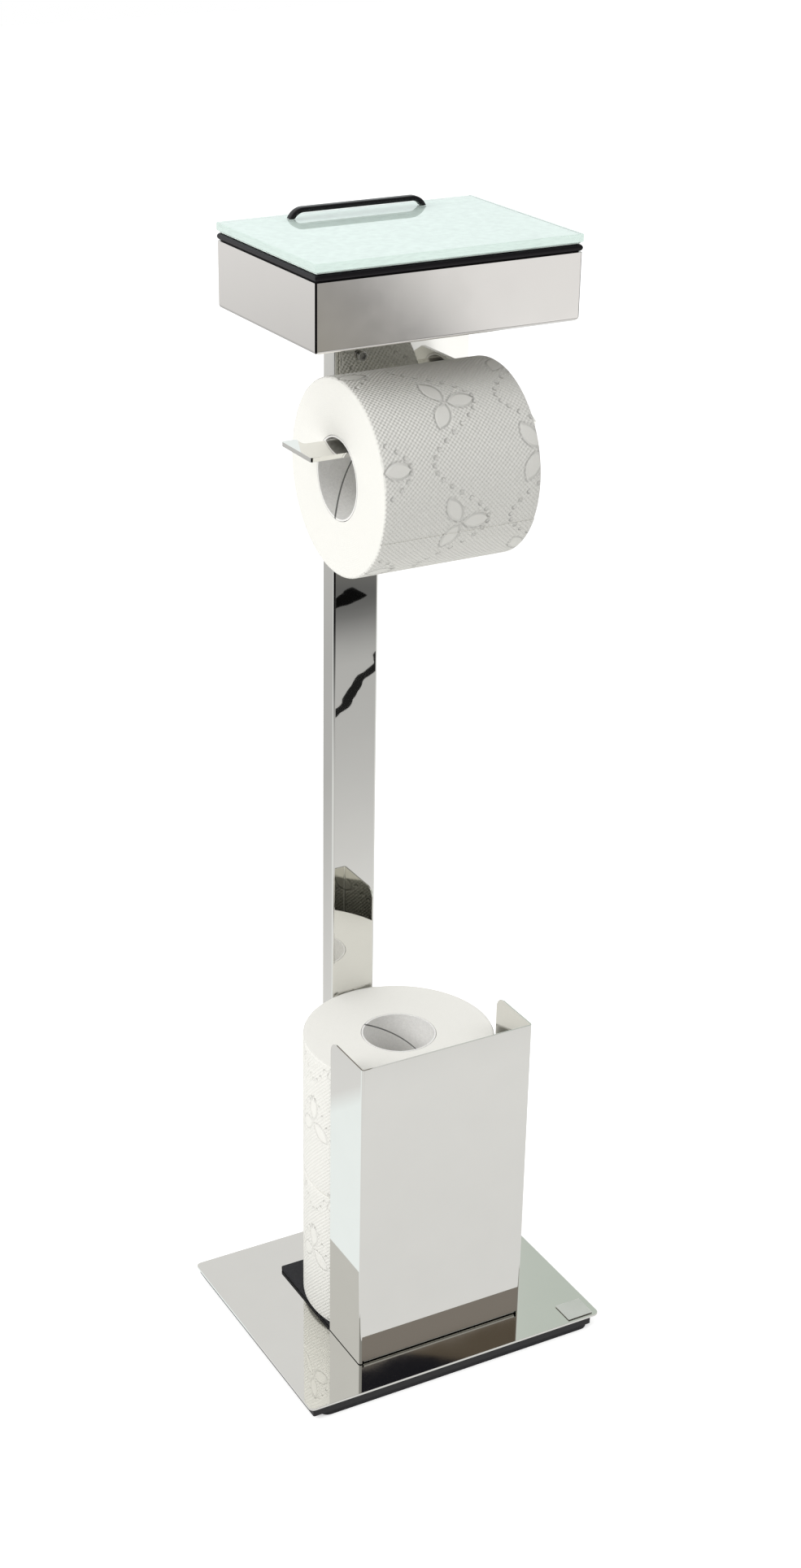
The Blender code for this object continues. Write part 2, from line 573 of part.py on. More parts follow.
def build_holder():
    """Front panel with two wings and a bottom flange, whose studs go down through the base."""
    half = HOLDER_HALF_WIDTH
    front, back = HOLDER_FRONT_Y, HOLDER_WING_BACK_Y
    low, high = HOLDER_BOTTOM, HOLDER_TOP
    notch_outer = half - HOLDER_BEND_RADIUS - SEAT_GAP
    notch_inner = notch_outer - HOLDER_RELIEF_WIDTH
    corners = {}
    for side, sign in (("left", -1), ("right", 1)):
        corners[f"{side}_low"] = (sign * half, front, low)
        corners[f"{side}_high"] = (sign * half, front, high)
        corners[f"{side}_back_low"] = (sign * half, back, low)
        middle = (back - HOLDER_WING_TOP_RADIUS, high - HOLDER_WING_TOP_RADIUS)
        for step, (y, z) in enumerate(arc(middle, HOLDER_WING_TOP_RADIUS, 0, 1, 2 * BEND_STEPS)):
            corners[f"{side}_top_{step}"] = (sign * half, y, z)
        corners[f"{side}_notch_outer"] = (sign * notch_outer, front, low)
        corners[f"{side}_notch_outer_top"] = (sign * notch_outer, front, low + HOLDER_RELIEF_HEIGHT)
        corners[f"{side}_notch_inner_top"] = (sign * notch_inner, front, low + HOLDER_RELIEF_HEIGHT)
        corners[f"{side}_fold"] = (sign * notch_inner, front, low)
        corners[f"{side}_flange"] = (sign * notch_inner, front + HOLDER_FLANGE_DEPTH, low)
    tops = [f"top_{step}" for step in range(2 * BEND_STEPS + 1)]
    relief = ["low", "notch_outer", "notch_outer_top", "notch_inner_top", "fold"]
    panels = [
        [f"left_{key}" for key in relief] + [f"right_{key}" for key in reversed(relief)] + ["right_high", "left_high"],
        ["right_low", "right_back_low"] + [f"right_{key}" for key in tops] + ["right_high"],
        ["left_high"] + [f"left_{key}" for key in reversed(tops)] + ["left_back_low", "left_low"],
        ["left_flange", "right_flange", "right_fold", "left_fold"],
    ]
    holder = folded_sheet("holder_sheet", corners, panels, HOLDER_BEND_RADIUS, HOLDER_SHEET, MIRROR_STEEL)
    studs = [circle(STUD_DIAMETER / 2, SCREW_STEPS, place) for place in STUD_PLACES]
    stud_bottom = WEIGHT_BOTTOM + SEAT_GAP
    combine(holder, "holder_studs", pins(studs, stud_bottom, HOLDER_BOTTOM + HOLDER_SHEET / 2), "UNION")

    for side, place in zip(("left", "right"), STUD_PLACES):
        add_nut(f"holder_nut_{side}", NUT_ACROSS_FLATS, NUT_HEIGHT, STUD_DIAMETER, place, stud_bottom)


def add_nut(name, across_flats, height, thread_diameter, place, bottom):
    """A hexagon nut with a plain bore."""
    nut = add_object(name, prism(hexagon(across_flats, place), bottom, bottom + height), PLAIN_STEEL)
    bore = prism(circle(thread_diameter / 2 + SEAT_GAP, SCREW_STEPS, place), bottom - OVERRUN, bottom + height + OVERRUN)
    combine(nut, f"{name}_bore", bore)
    return nut


def build_mat():
    """Black mat inside the holder, recessed below for the holder's flange."""
    width = 2 * (HOLDER_INNER_HALF_WIDTH - SEAT_GAP)
    front = HOLDER_FRONT_Y + HOLDER_SHEET + SEAT_GAP
    outline = rounded_rectangle(width, MAT_DEPTH, MAT_CORNER_RADIUS, (0, front + MAT_DEPTH / 2))
    mat = add_object("holder_mat", prism(outline, MAT_BOTTOM, MAT_TOP), BLACK_RUBBER)
    recess_back = HOLDER_FRONT_Y + HOLDER_FLANGE_DEPTH + SEAT_GAP
    recess_depth = recess_back - front + OVERRUN
    recess = rounded_rectangle(width + 2 * OVERRUN, recess_depth, MAT_CORNER_RADIUS, (0, recess_back - recess_depth / 2))
    recess_top = HOLDER_BOTTOM + HOLDER_SHEET + SEAT_GAP
    combine(mat, "holder_mat_recess", prism(recess, MAT_BOTTOM - OVERRUN, recess_top))


def paper_outline():
    """The hanging roll's outer turn: one slow spiral whose end makes a step."""
    points = []
    for step in range(ROLL_STEPS + 1):
        turn = step / ROLL_STEPS
        radius = HANGING_ROLL_RADIUS - TAIL_STEP * turn
        angle = math.pi + TAIL_ANGLE + 2 * math.pi * turn
        points.append((radius * math.cos(angle), radius * math.sin(angle)))
    return points


def core_tube():
    """The cardboard tube, its ends flush with the paper."""
    low, high = -ROLL_WIDTH / 2, ROLL_WIDTH / 2
    profile = [(CORE_BORE_RADIUS, low), (CORE_RADIUS, low), (CORE_RADIUS, high), (CORE_BORE_RADIUS, high)]
    return turned(profile, ROLL_STEPS, closed=True)


def full_paper():
    """An unused roll's paper round its core, its rims a little eased."""
    low, high = -ROLL_WIDTH / 2, ROLL_WIDTH / 2
    inner = CORE_RADIUS + SEAT_GAP
    eased = SPARE_ROLL_RADIUS - PAPER_EDGE_ROUND
    profile = [
        (inner, low),
        (eased, low),
        (SPARE_ROLL_RADIUS, low + PAPER_EDGE_ROUND),
        (SPARE_ROLL_RADIUS, high - PAPER_EDGE_ROUND),
        (eased, high),
        (inner, high),
    ]
    return turned(profile, ROLL_STEPS, closed=True)


def build_spare_rolls():
    """Two full rolls, one on the other, each lifting straight up."""
    for name, bottom in (("lower", LOWER_ROLL_BOTTOM), ("upper", UPPER_ROLL_BOTTOM)):
        place = (0, SPARE_ROLL_Y, bottom + ROLL_WIDTH / 2)
        paper = add_object(f"spare_roll_{name}_paper", full_paper(), PAPER_WHITE, place)
        core = add_object(f"spare_roll_{name}_core", core_tube(), CORE_GREY, place)
        gather(f"spare_roll_{name}", place, (paper, core))


def build_hanging_roll():
    """The roll in use, turning on the arm about its core's axis along X."""
    place = (HANGING_ROLL_X, HANGING_ROLL_Y, HANGING_ROLL_Z)
    turn = (math.pi / 2, 0, math.pi / 2)
    half = ROLL_WIDTH / 2
    paper = add_object("hanging_roll_paper", prism(paper_outline(), -half, half), PAPER_WHITE, place, turn)
    bore = prism(circle(CORE_RADIUS + SEAT_GAP, ROLL_STEPS), -half - OVERRUN, half + OVERRUN)
    combine(paper, "hanging_roll_bore", bore, place=place, turn=turn)
    core = add_object("hanging_roll_core", core_tube(), CORE_GREY, place, turn)
    gather("hanging_roll", place, (paper, core))


def bracket_corners():
    """The bracket's named corners on its outer side, where the sheet faces the post, the right and the floor."""
    arm_front = HANGING_ROLL_Y - ARM_WIDTH / 2
    arm_back = HANGING_ROLL_Y + ARM_WIDTH / 2
    plate_bottom = BOX_BOTTOM - BRACKET_PLATE_DROP
    strip_top = ARM_BOTTOM + STRIP_HEIGHT
    left, right = BRACKET_LEFT_X, BRACKET_RIGHT_X
    slot, depth = BRACKET_RELIEF_WIDTH, BRACKET_RELIEF_DEPTH
    back = BRACKET_BACK_Y
    corners = {
        "plate_left_low": (left, back, plate_bottom),
        "plate_left_high": (left, back, FLANGE_TOP),
        "flange_left": (left, back - BRACKET_FLANGE_DEPTH, FLANGE_TOP),
        "flange_right": (FLANGE_RIGHT_X, back - BRACKET_FLANGE_DEPTH, FLANGE_TOP),
        "flange_fold_end": (FLANGE_RIGHT_X, back, FLANGE_TOP),
        "shoulder_in": (FLANGE_RIGHT_X, back, FLANGE_TOP - depth),
        "shoulder_out": (right, back, FLANGE_TOP - depth),
        "slot_high_out": (right, back, strip_top + slot),
        "slot_high_in": (right - depth, back, strip_top + slot),
        "slot_low_in": (right - depth, back, strip_top),
        "strip_fold_high": (right, back, strip_top),
        "strip_fold_low": (right, back, ARM_BOTTOM),
        "plate_right_low": (right - depth, back, ARM_BOTTOM),
        "plate_right_foot": (right - depth, back, plate_bottom),
        "strip_toe_high": (right, arm_front, ARM_BOTTOM + STRIP_TOE_HEIGHT),
        "strip_knee": (right, arm_back, strip_top),
        "arm_fold_front": (right, arm_front, ARM_BOTTOM),
        "arm_fold_back": (right, arm_back, ARM_BOTTOM),
        "arm_slot_in": (right, arm_back, ARM_BOTTOM + depth),
        "arm_slot_out": (right, arm_back + slot, ARM_BOTTOM + depth),
        "arm_slot_low": (right, arm_back + slot, ARM_BOTTOM),
    }
    return corners


def arm_outline():
    """The arm's outline past its fold, from the front fold end round the free end to the back fold end."""
    front = HANGING_ROLL_Y - ARM_WIDTH / 2
    back = HANGING_ROLL_Y + ARM_WIDTH / 2
    end = ARM_FREE_END_X
    nib_back = back + ARM_NIB_REACH
    nib_right = end + ARM_NIB_LENGTH
    radius, fillet = ARM_CORNER_RADIUS, ARM_NIB_FILLET
    points = []
    points += reversed(arc((end + radius, front + radius), radius, 2, 3, BEND_STEPS))
    points += reversed(arc((end + radius, nib_back - radius), radius, 1, 2, BEND_STEPS))
    points += reversed(arc((nib_right - radius, nib_back - radius), radius, 0, 1, BEND_STEPS))
    points += arc((nib_right + fillet, back + fillet), fillet, 2, 3, BEND_STEPS)
    return points


def build_bracket():
    """One bent sheet: back plate on the post, flange under the box, side strip and roll arm."""
    corners = bracket_corners()
    arm_keys = []
    for number, (x, y) in enumerate(arm_outline()):
        corners[f"arm_{number}"] = (x, y, ARM_BOTTOM)
        arm_keys.append(f"arm_{number}")
    plate = [
        "plate_left_low", "plate_left_high", "flange_fold_end", "shoulder_in", "shoulder_out", "slot_high_out",
        "slot_high_in", "slot_low_in", "strip_fold_high", "strip_fold_low", "plate_right_low", "plate_right_foot",
    ]
    flange = ["plate_left_high", "flange_left", "flange_right", "flange_fold_end"]
    strip = [
        "strip_fold_high", "strip_knee", "strip_toe_high", "arm_fold_front", "arm_fold_back", "arm_slot_in",
        "arm_slot_out", "arm_slot_low", "strip_fold_low",
    ]
    arm = ["arm_fold_back", "arm_fold_front"] + arm_keys
    panels = [plate, flange, strip, arm]
    bracket = folded_sheet("roll_bracket", corners, panels, BRACKET_BEND_RADIUS, BRACKET_SHEET, MIRROR_STEEL)
    combine(bracket, "bracket_plate_holes", plate_screw_holes(BRACKET_FRONT_Y - OVERRUN, BRACKET_BACK_Y + SEAT_GAP / 2))
    holes = [circle(BOX_SCREW_DIAMETER / 2 + SEAT_GAP, SCREW_STEPS, place) for place in BOX_SCREW_PLACES]
    flange_bottom = FLANGE_TOP - BRACKET_SHEET
    combine(bracket, "bracket_flange_holes", pins(holes, flange_bottom - OVERRUN, FLANGE_TOP + OVERRUN))


def add_socket_screw(name, head, shank, place, turn, finish=PLAIN_STEEL):
    """A cap screw along its own +Z, its head's underside at the place."""
    head_diameter, head_height = head
    shank_diameter, shank_length = shank
    eased = head_diameter / 2 - SEAT_GAP
    profile = [
        (0, -head_height),
        (eased, -head_height),
        (head_diameter / 2, SEAT_GAP - head_height),
        (head_diameter / 2, 0),
        (shank_diameter / 2, 0),
        (shank_diameter / 2, shank_length),
        (0, shank_length),
    ]
    screw = add_object(name, turned(profile, SCREW_STEPS), finish, place, turn)
    socket_top = -head_height * (1 - SOCKET_DEPTH_SHARE)
    socket = prism(hexagon(head_diameter * SOCKET_SHARE), -head_height - OVERRUN, socket_top)
    combine(screw, f"{name}_socket", socket, place=place, turn=turn)


def build_bracket_screws():
    """Two cap screws through the back plate into the post."""
    head = (PLATE_SCREW_HEAD_DIAMETER, PLATE_SCREW_HEAD_HEIGHT)
    shank = (PLATE_SCREW_DIAMETER, PLATE_SCREW_LENGTH)
    for name, height in zip(("upper", "lower"), PLATE_SCREW_HEIGHTS):
        place = (0, BRACKET_FRONT_Y - SEAT_GAP, height)
        add_socket_screw(f"bracket_screw_{name}", head, shank, place, (-math.pi / 2, 0, 0))


def build_box_tray():
    """Folded tray: a box with rounded foot edges, hollow, its corners slit along their mitres."""
    outer = rounded_foot_box(0, BOX_BEND_RADIUS, BOX_BOTTOM, BOX_WALL_TOP)
    tray = add_object("box_tray", outer, MIRROR_STEEL)
    inner_radius = BOX_BEND_RADIUS - BOX_SHEET
    combine(tray, "box_tray_hollow", rounded_foot_box(BOX_SHEET, inner_radius, BOX_BOTTOM + BOX_SHEET, BOX_WALL_TOP + OVERRUN))
    combine(tray, "box_tray_seams", corner_slits())
    holes = [circle(BOX_SCREW_DIAMETER / 2 + SEAT_GAP, SCREW_STEPS, place) for place in BOX_SCREW_PLACES]
    combine(tray, "box_tray_holes", pins(holes, BOX_BOTTOM - OVERRUN, BOX_BOTTOM + BOX_SHEET + OVERRUN))


def rounded_foot_box(inset, radius, bottom, top):
    """An upright box, drawn in from the tray's outside, with round edges at its foot."""
    half_width = BOX_WIDTH / 2 - inset
    half_depth = BOX_DEPTH / 2 - inset
    outline = [(-half_width, -half_depth), (half_width, -half_depth), (half_width, half_depth), (-half_width, half_depth)]
    mesh_data = prism([(x, y + BOX_Y) for x, y in outline], bottom, top)
    foot = [edge for edge in mesh_data.edges if is_level(edge, bottom)]
    bmesh.ops.bevel(mesh_data, geom=foot, offset=radius, segments=BEND_STEPS, profile=0.5, affect="EDGES")
    return mesh_data


def corner_slits():
    """Upright slabs on the diagonals of the tray's four corners."""
    mesh_data = bmesh.new()
    half = BOX_SEAM_WIDTH / 2
    for side_x in (-1, 1):
        for side_y in (-1, 1):
            corner = Vector((side_x * BOX_WIDTH / 2, BOX_Y + side_y * BOX_DEPTH / 2))
            along = Vector((side_x, side_y)).normalized()
            across = Vector((-along.y, along.x))
            outer = corner + along * OVERRUN
            inner = corner - along * BOX_SEAM_RUN
            outline = [outer + across * half, inner + across * half, inner - across * half, outer - across * half]
            raise_outline(mesh_data, [(point.x, point.y) for point in outline], BOX_BOTTOM - OVERRUN, BOX_WALL_TOP + OVERRUN)
    return mesh_data


def liner_outline(inset, growth=0.0):
    """The liner's rectangle at an inset from the tray's outside."""
    width = BOX_WIDTH - 2 * inset
    depth = BOX_DEPTH - 2 * inset
    return rounded_rectangle(width, depth, LINER_CORNER_RADIUS + growth, (0, BOX_Y))


def build_liner():
    """Black inner tray hanging by its rounded rim on the steel's upper edges."""
    floor = BOX_BOTTOM + LINER_FLOOR_RISE
    wall = BOX_SHEET + SEAT_GAP
    inner = wall + LINER_WALL
    rim_middle = (RIM_BOTTOM + RIM_TOP) / 2
    nose = RIM_HEIGHT / 2
    rings = [
        (liner_outline(wall + LINER_FOOT_RADIUS), floor),
        (liner_outline(wall), floor + LINER_FOOT_RADIUS),
        (liner_outline(wall), RIM_BOTTOM),
    ]
    for step in range(RIM_STEPS + 1):
        angle = math.pi * (step / RIM_STEPS - 1 / 2)
        inset = nose - RIM_OVERHANG - nose * math.cos(angle)
        rings.append((liner_outline(inset), rim_middle + nose * math.sin(angle)))
    rings.append((liner_outline(inner), RIM_TOP))
    rings.append((liner_outline(inner), floor + LINER_FOOT_RADIUS))
    rings.append((liner_outline(inner + LINER_FOOT_RADIUS), floor + LINER_FLOOR))
    add_object("box_liner", stacked_rings(rings), BLACK_PLASTIC)


def build_box_screws():
    """Two screws inside the tray, down into the bracket's flange."""
    head = (BOX_SCREW_HEAD_DIAMETER, BOX_SCREW_HEAD_HEIGHT)
    shank = (BOX_SCREW_DIAMETER, BOX_SCREW_LENGTH)
    for side, place in zip(("left", "right"), BOX_SCREW_PLACES):
        seat = (*place, BOX_BOTTOM + BOX_SHEET + SEAT_GAP)
        add_socket_screw(f"box_screw_{side}", head, shank, seat, (math.pi, 0, 0))


def build_lid():
    """Glass slab over a white backing, with a locating plate below that drops into the liner."""
    centre = (0, BOX_Y)
    places = [(-HANDLE_STUD_X, HANDLE_Y), (HANDLE_STUD_X, HANDLE_Y)]
    holes = [circle(HANDLE_STUD_DIAMETER / 2 + SEAT_GAP, SCREW_STEPS, place) for place in places]

    outline = rounded_rectangle(GLASS_WIDTH, GLASS_DEPTH, GLASS_CORNER_RADIUS, centre)
    glass = add_object("lid_glass", ease_rims(prism(outline, GLASS_BOTTOM, GLASS_TOP), GLASS_EDGE), CLEAR_GLASS)
    combine(glass, "lid_glass_holes", pins(holes, GLASS_BOTTOM - OVERRUN, GLASS_TOP + OVERRUN))

    width, depth = GLASS_WIDTH - 2 * BACKING_INSET, GLASS_DEPTH - 2 * BACKING_INSET
    outline = rounded_rectangle(width, depth, GLASS_CORNER_RADIUS, centre)
    top = BACKING_BOTTOM + BACKING_THICKNESS
    backing = add_object("lid_backing", prism(outline, BACKING_BOTTOM, top), WHITE_LACQUER)
    combine(backing, "lid_backing_holes", pins(holes, BACKING_BOTTOM - OVERRUN, top + OVERRUN))

    mouth = BOX_SHEET + SEAT_GAP + LINER_WALL + LOCATOR_CLEARANCE
    outer, inner = liner_outline(mouth), liner_outline(mouth + LOCATOR_WALL)
    under = LOCATOR_TOP - LOCATOR_PLATE
    lip = LOCATOR_TOP - LOCATOR_LIP_HEIGHT
    rings = [(inner, under), (inner, lip), (outer, lip), (outer, LOCATOR_TOP)]
    locator = add_object("lid_locator", stacked_rings(rings), BLACK_PLASTIC)
    combine(locator, "lid_locator_holes", pins(holes, under - OVERRUN, LOCATOR_TOP + OVERRUN))

    handle = build_handle(places)
    nut_bottom = under - SEAT_GAP - HANDLE_NUT_HEIGHT
    nuts = []
    for side, place in zip(("left", "right"), places):
        name = f"handle_nut_{side}"
        nuts.append(add_nut(name, HANDLE_NUT_ACROSS_FLATS, HANDLE_NUT_HEIGHT, HANDLE_STUD_DIAMETER, place, nut_bottom))
    gather("lid_lift", (0, BOX_Y, BACKING_BOTTOM), (glass, backing, locator, handle, *nuts))


def bow_side():
    """The bow seen from the front: a flat bar bent down at both ends and cut level with the glass."""
    top = HANDLE_HEIGHT
    outer = HANDLE_BEND_RADIUS
    inner = outer - HANDLE_BAR_HEIGHT
    foot = SEAT_GAP
    middle_z = top - outer
    outer_end = math.acos((foot - middle_z) / outer)
    inner_end = math.acos((foot - middle_z) / inner)
    middle_x = HANDLE_LENGTH / 2 - outer * math.sin(outer_end)
    steps = 2 * BEND_STEPS
    right = [(middle_x + outer * math.sin(outer_end * s / steps), middle_z + outer * math.cos(outer_end * s / steps)) for s in range(steps + 1)]
    under = [(middle_x + inner * math.sin(inner_end * s / steps), middle_z + inner * math.cos(inner_end * s / steps)) for s in range(steps + 1)]
    half = right + list(reversed(under))
    return half + [(-x, z) for x, z in reversed(half)]


def build_handle(places):
    """Black bow handle with a threaded stud in each foot."""
    mesh_data = bmesh.new()
    raise_outline(mesh_data, bow_side(), -HANDLE_BAR_DEPTH / 2, HANDLE_BAR_DEPTH / 2)
    rims = [edge for edge in mesh_data.edges if len({round(vert.co.z / SEAT_GAP) for vert in edge.verts}) == 1]
    long_edges = [edge for edge in rims if not is_foot(edge)]
    bmesh.ops.bevel(mesh_data, geom=long_edges, offset=HANDLE_EDGE_RADIUS, segments=2, profile=0.5, affect="EDGES")
    bmesh.ops.rotate(mesh_data, verts=mesh_data.verts, matrix=turn_to_back())
    bmesh.ops.scale(mesh_data, verts=mesh_data.verts, vec=(1, 1, -1))
    bmesh.ops.translate(mesh_data, verts=mesh_data.verts, vec=(0, HANDLE_Y, GLASS_TOP))
    handle = add_object("lid_handle", mesh_data, BLACK_PLASTIC)
    studs = [circle(HANDLE_STUD_DIAMETER / 2, SCREW_STEPS, place) for place in places]
    stud_bottom = LOCATOR_TOP - LOCATOR_PLATE - SEAT_GAP - HANDLE_NUT_HEIGHT - SEAT_GAP
    combine(handle, "lid_handle_studs", pins(studs, stud_bottom, GLASS_TOP + HANDLE_BAR_HEIGHT / 2), "UNION")
    return handle


def is_foot(edge):
    """True if an edge of the bow's side outline lies along one of its cut feet."""
    return all(math.isclose(vert.co.y, SEAT_GAP, abs_tol=SEAT_GAP / 100) for vert in edge.verts)


def main():
    clear_scene()
    build_base()
    build_badge()
    build_foot_screws()
    build_post()
    build_holder()
    build_mat()
    build_spare_rolls()
    build_bracket()
    build_bracket_screws()
    build_hanging_roll()
    build_box_tray()
    build_liner()
    build_box_screws()
    build_lid()


main()
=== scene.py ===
"""Looks of the toilet butler stand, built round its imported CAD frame.

Metres, +Z up, -Y to the front, as in the frame. Laid out as a Blender add-on and run as a script.
"""

import math

import bmesh
import bpy
from bpy.props import FloatProperty, FloatVectorProperty, IntProperty, PointerProperty
from bpy.types import Operator, Panel, PropertyGroup
from mathutils import Euler, Matrix, Vector


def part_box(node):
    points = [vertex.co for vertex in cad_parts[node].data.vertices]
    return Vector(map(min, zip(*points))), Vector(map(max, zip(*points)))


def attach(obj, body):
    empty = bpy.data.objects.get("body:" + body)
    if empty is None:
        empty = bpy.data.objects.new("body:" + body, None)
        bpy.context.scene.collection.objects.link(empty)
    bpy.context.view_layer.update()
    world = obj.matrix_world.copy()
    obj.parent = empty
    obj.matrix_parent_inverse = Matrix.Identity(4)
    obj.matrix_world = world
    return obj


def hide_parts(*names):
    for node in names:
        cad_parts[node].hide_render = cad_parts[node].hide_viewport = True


bl_info = {
    "name": "Toilet butler stand",
    "version": (1, 0, 0),
    "blender": (4, 5, 0),
    "location": "View3D > Sidebar > Butler",
    "description": "Pieces, finishes and studio of a free-standing toilet butler",
    "category": "Object",
}

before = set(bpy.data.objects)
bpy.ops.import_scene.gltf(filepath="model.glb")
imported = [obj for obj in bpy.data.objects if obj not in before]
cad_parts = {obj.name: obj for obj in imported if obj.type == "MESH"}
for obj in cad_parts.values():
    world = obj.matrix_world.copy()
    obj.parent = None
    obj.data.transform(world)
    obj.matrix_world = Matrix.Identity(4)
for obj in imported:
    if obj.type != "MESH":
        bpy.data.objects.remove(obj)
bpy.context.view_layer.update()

# Photograph's view of the stand
CAMERA_PLACE = Vector((-0.62233, -1.09138, 0.95296))
CAMERA_AZIMUTH = math.radians(-27.38)
CAMERA_ELEVATION = math.radians(27.57)
CAMERA_LENS_MM = 54.125
CAMERA_SENSOR_MM = 36.0
CAMERA_SHIFT = (0.05303, 0.07408)

# Vertices of a copied CAD mesh closer than this are one
MERGE_DISTANCE = 1e-5
# Neighbouring faces that turn less than this are one flat face
FLAT_ANGLE = math.radians(0.5)
# Edges that turn more than this are cut edges, not bends
SHARP_ANGLE = math.radians(35)


def linear(code):
    """An sRGB hex colour as linear red, green and blue."""
    channels = [int(code[start:start + 2], 16) / 255 for start in (1, 3, 5)]
    return tuple(c / 12.92 if c <= 0.04045 else ((c + 0.055) / 1.055) ** 2.4 for c in channels)


def opaque(colour):
    """A colour as the four numbers that a shader socket takes."""
    return (*colour, 1.0)


def shaded(colour, share):
    """A share of a colour's brightness, as the four numbers that a shader socket takes."""
    return opaque([channel * share for channel in colour])


class ButlerSizes(PropertyGroup):
    """Sizes that the CAD leaves to the looks."""

    steel_edge: FloatProperty(
        name="Steel edge", description="Width of the polished edge round a cut steel sheet",
        default=0.0002, unit="LENGTH",
    )
    base_edge: FloatProperty(
        name="Base edge", description="Width of the bevel round the base plate",
        default=0.00035, unit="LENGTH",
    )
    soft_edge: FloatProperty(
        name="Rubber edge", description="Width of the worn edge on rubber and coated pieces",
        default=0.0003, unit="LENGTH",
    )
    roll_rim: FloatProperty(
        name="Roll rim", description="Radius of the soft rim of a toilet roll",
        default=0.0010, unit="LENGTH",
    )
    tail_step: FloatProperty(
        name="Tail step", description="Height of the free edge of a roll's last sheet",
        default=0.0004, unit="LENGTH",
    )
    pip_pitch: FloatProperty(
        name="Pip pitch", description="Distance between rows of the paper's small embossed pips",
        default=0.0027, unit="LENGTH",
    )
    dot_pitch: FloatProperty(
        name="Dot pitch",
        description="Distance between the dots of an embossed line, measured round the roll",
        default=0.0041, unit="LENGTH",
    )
    dot_size: FloatProperty(
        name="Dot size", description="Diameter of an embossed dot",
        default=0.0030, unit="LENGTH",
    )
    dot_swing: FloatProperty(
        name="Dot line swing",
        description="How far the dotted line swings to each side between the flowers",
        default=0.0170, unit="LENGTH",
    )
    roll_steps: IntProperty(
        name="Roll steps", description="Faces round a toilet roll", default=180,
    )


class ButlerFinishes(PropertyGroup):
    """Colours of the finishes."""

    mirror_steel: FloatVectorProperty(
        name="Mirror polished steel",
        description="Stainless steel of base, post, holder and bracket",
        subtype="COLOR", size=3, default=linear("#e7e6e1"),
    )
    satin_steel: FloatVectorProperty(
        name="Satin steel", description="Stainless steel of the wipes box",
        subtype="COLOR", size=3, default=linear("#e6e3df"),
    )
    zinc_steel: FloatVectorProperty(
        name="Zinc plated steel", description="Screws, nuts and screw blocks",
        subtype="COLOR", size=3, default=linear("#b4b3b0"),
    )
    powder_black: FloatVectorProperty(
        name="Black powder coat", description="Base weight and lid handle",
        subtype="COLOR", size=3, default=linear("#121014"),
    )
    rubber_black: FloatVectorProperty(
        name="Black rubber", description="Mat and underlay",
        subtype="COLOR", size=3, default=linear("#262629"),
    )
    plastic_black: FloatVectorProperty(
        name="Black plastic", description="Liner of the box and lid locator",
        subtype="COLOR", size=3, default=linear("#110d13"),
    )
    glass_tint: FloatVectorProperty(
        name="Glass tint", description="Float glass seen through its thickness",
        subtype="COLOR", size=3, default=linear("#f8fdfb"),
    )
    film_white: FloatVectorProperty(
        name="White film", description="Film on the lid glass's underside",
        subtype="COLOR", size=3, default=linear("#e8f3ee"),
    )
    tissue_white: FloatVectorProperty(
        name="Tissue", description="Paper of the rolls",
        subtype="COLOR", size=3, default=linear("#f3f2ec"),
    )
    board_grey: FloatVectorProperty(
        name="Core board", description="Cardboard of the roll cores",
        subtype="COLOR", size=3, default=linear("#f3f2ef"),
    )
    floor_white: FloatVectorProperty(
        name="Floor", description="Studio floor",
        subtype="COLOR", size=3, default=linear("#f4f4f3"),
    )


# Meshes


def copy_of(node):
    """A merged copy of a CAD node's mesh, its flat faces whole again."""
    mesh_data = bmesh.new()
    mesh_data.from_mesh(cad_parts[node].data)
    bmesh.ops.remove_doubles(mesh_data, verts=mesh_data.verts, dist=MERGE_DISTANCE)
    bmesh.ops.dissolve_limit(
        mesh_data, angle_limit=FLAT_ANGLE, verts=mesh_data.verts, edges=mesh_data.edges
    )
    return mesh_data


def ease_edges(mesh_data, width):
    """Bevel every edge sharper than a bend."""
    sharp = [
        edge for edge in mesh_data.edges
        if edge.is_manifold and edge.calc_face_angle() > SHARP_ANGLE
    ]
    bmesh.ops.bevel(
        mesh_data, geom=sharp, offset=width, offset_type="OFFSET", segments=2, profile=0.5,
        affect="EDGES", material=-1, clamp_overlap=True,
    )


def add_piece(mesh_data, name, material, body, node):
    """Make a bmesh a piece of the stand that rides on a body and replaces a CAD node."""
    mesh = bpy.data.meshes.new(name)
    mesh_data.to_mesh(mesh)
    mesh_data.free()
    mesh.materials.append(material)
    mesh.shade_smooth()
    mesh.set_sharp_from_angle(angle=SHARP_ANGLE)
    piece = bpy.data.objects.new(name, mesh)
    bpy.context.scene.collection.objects.link(piece)
    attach(piece, body)
    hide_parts(node)
    return piece


def refine(node, finish, material, body, edge=0.0):
    """Replace a CAD node by its copy in a finish, its cut edges eased where a width is given."""
    mesh_data = copy_of(node)
    if edge:
        ease_edges(mesh_data, edge)
    piece = add_piece(mesh_data, f"{node}_{finish}", material, body, node)
    # Normals weighed by face size alone let flats mirror straight beside their rounded edges
    weights = piece.modifiers.new("flats", "WEIGHTED_NORMAL")
    weights.mode = "FACE_AREA"
    weights.keep_sharp = True
    weights.weight = 100
    return piece


def repaint(node, material):
    """Give a CAD node that stays as it is a better material."""
    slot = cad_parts[node].material_slots[0]
    slot.link = "OBJECT"
    slot.material = material


# Nodes


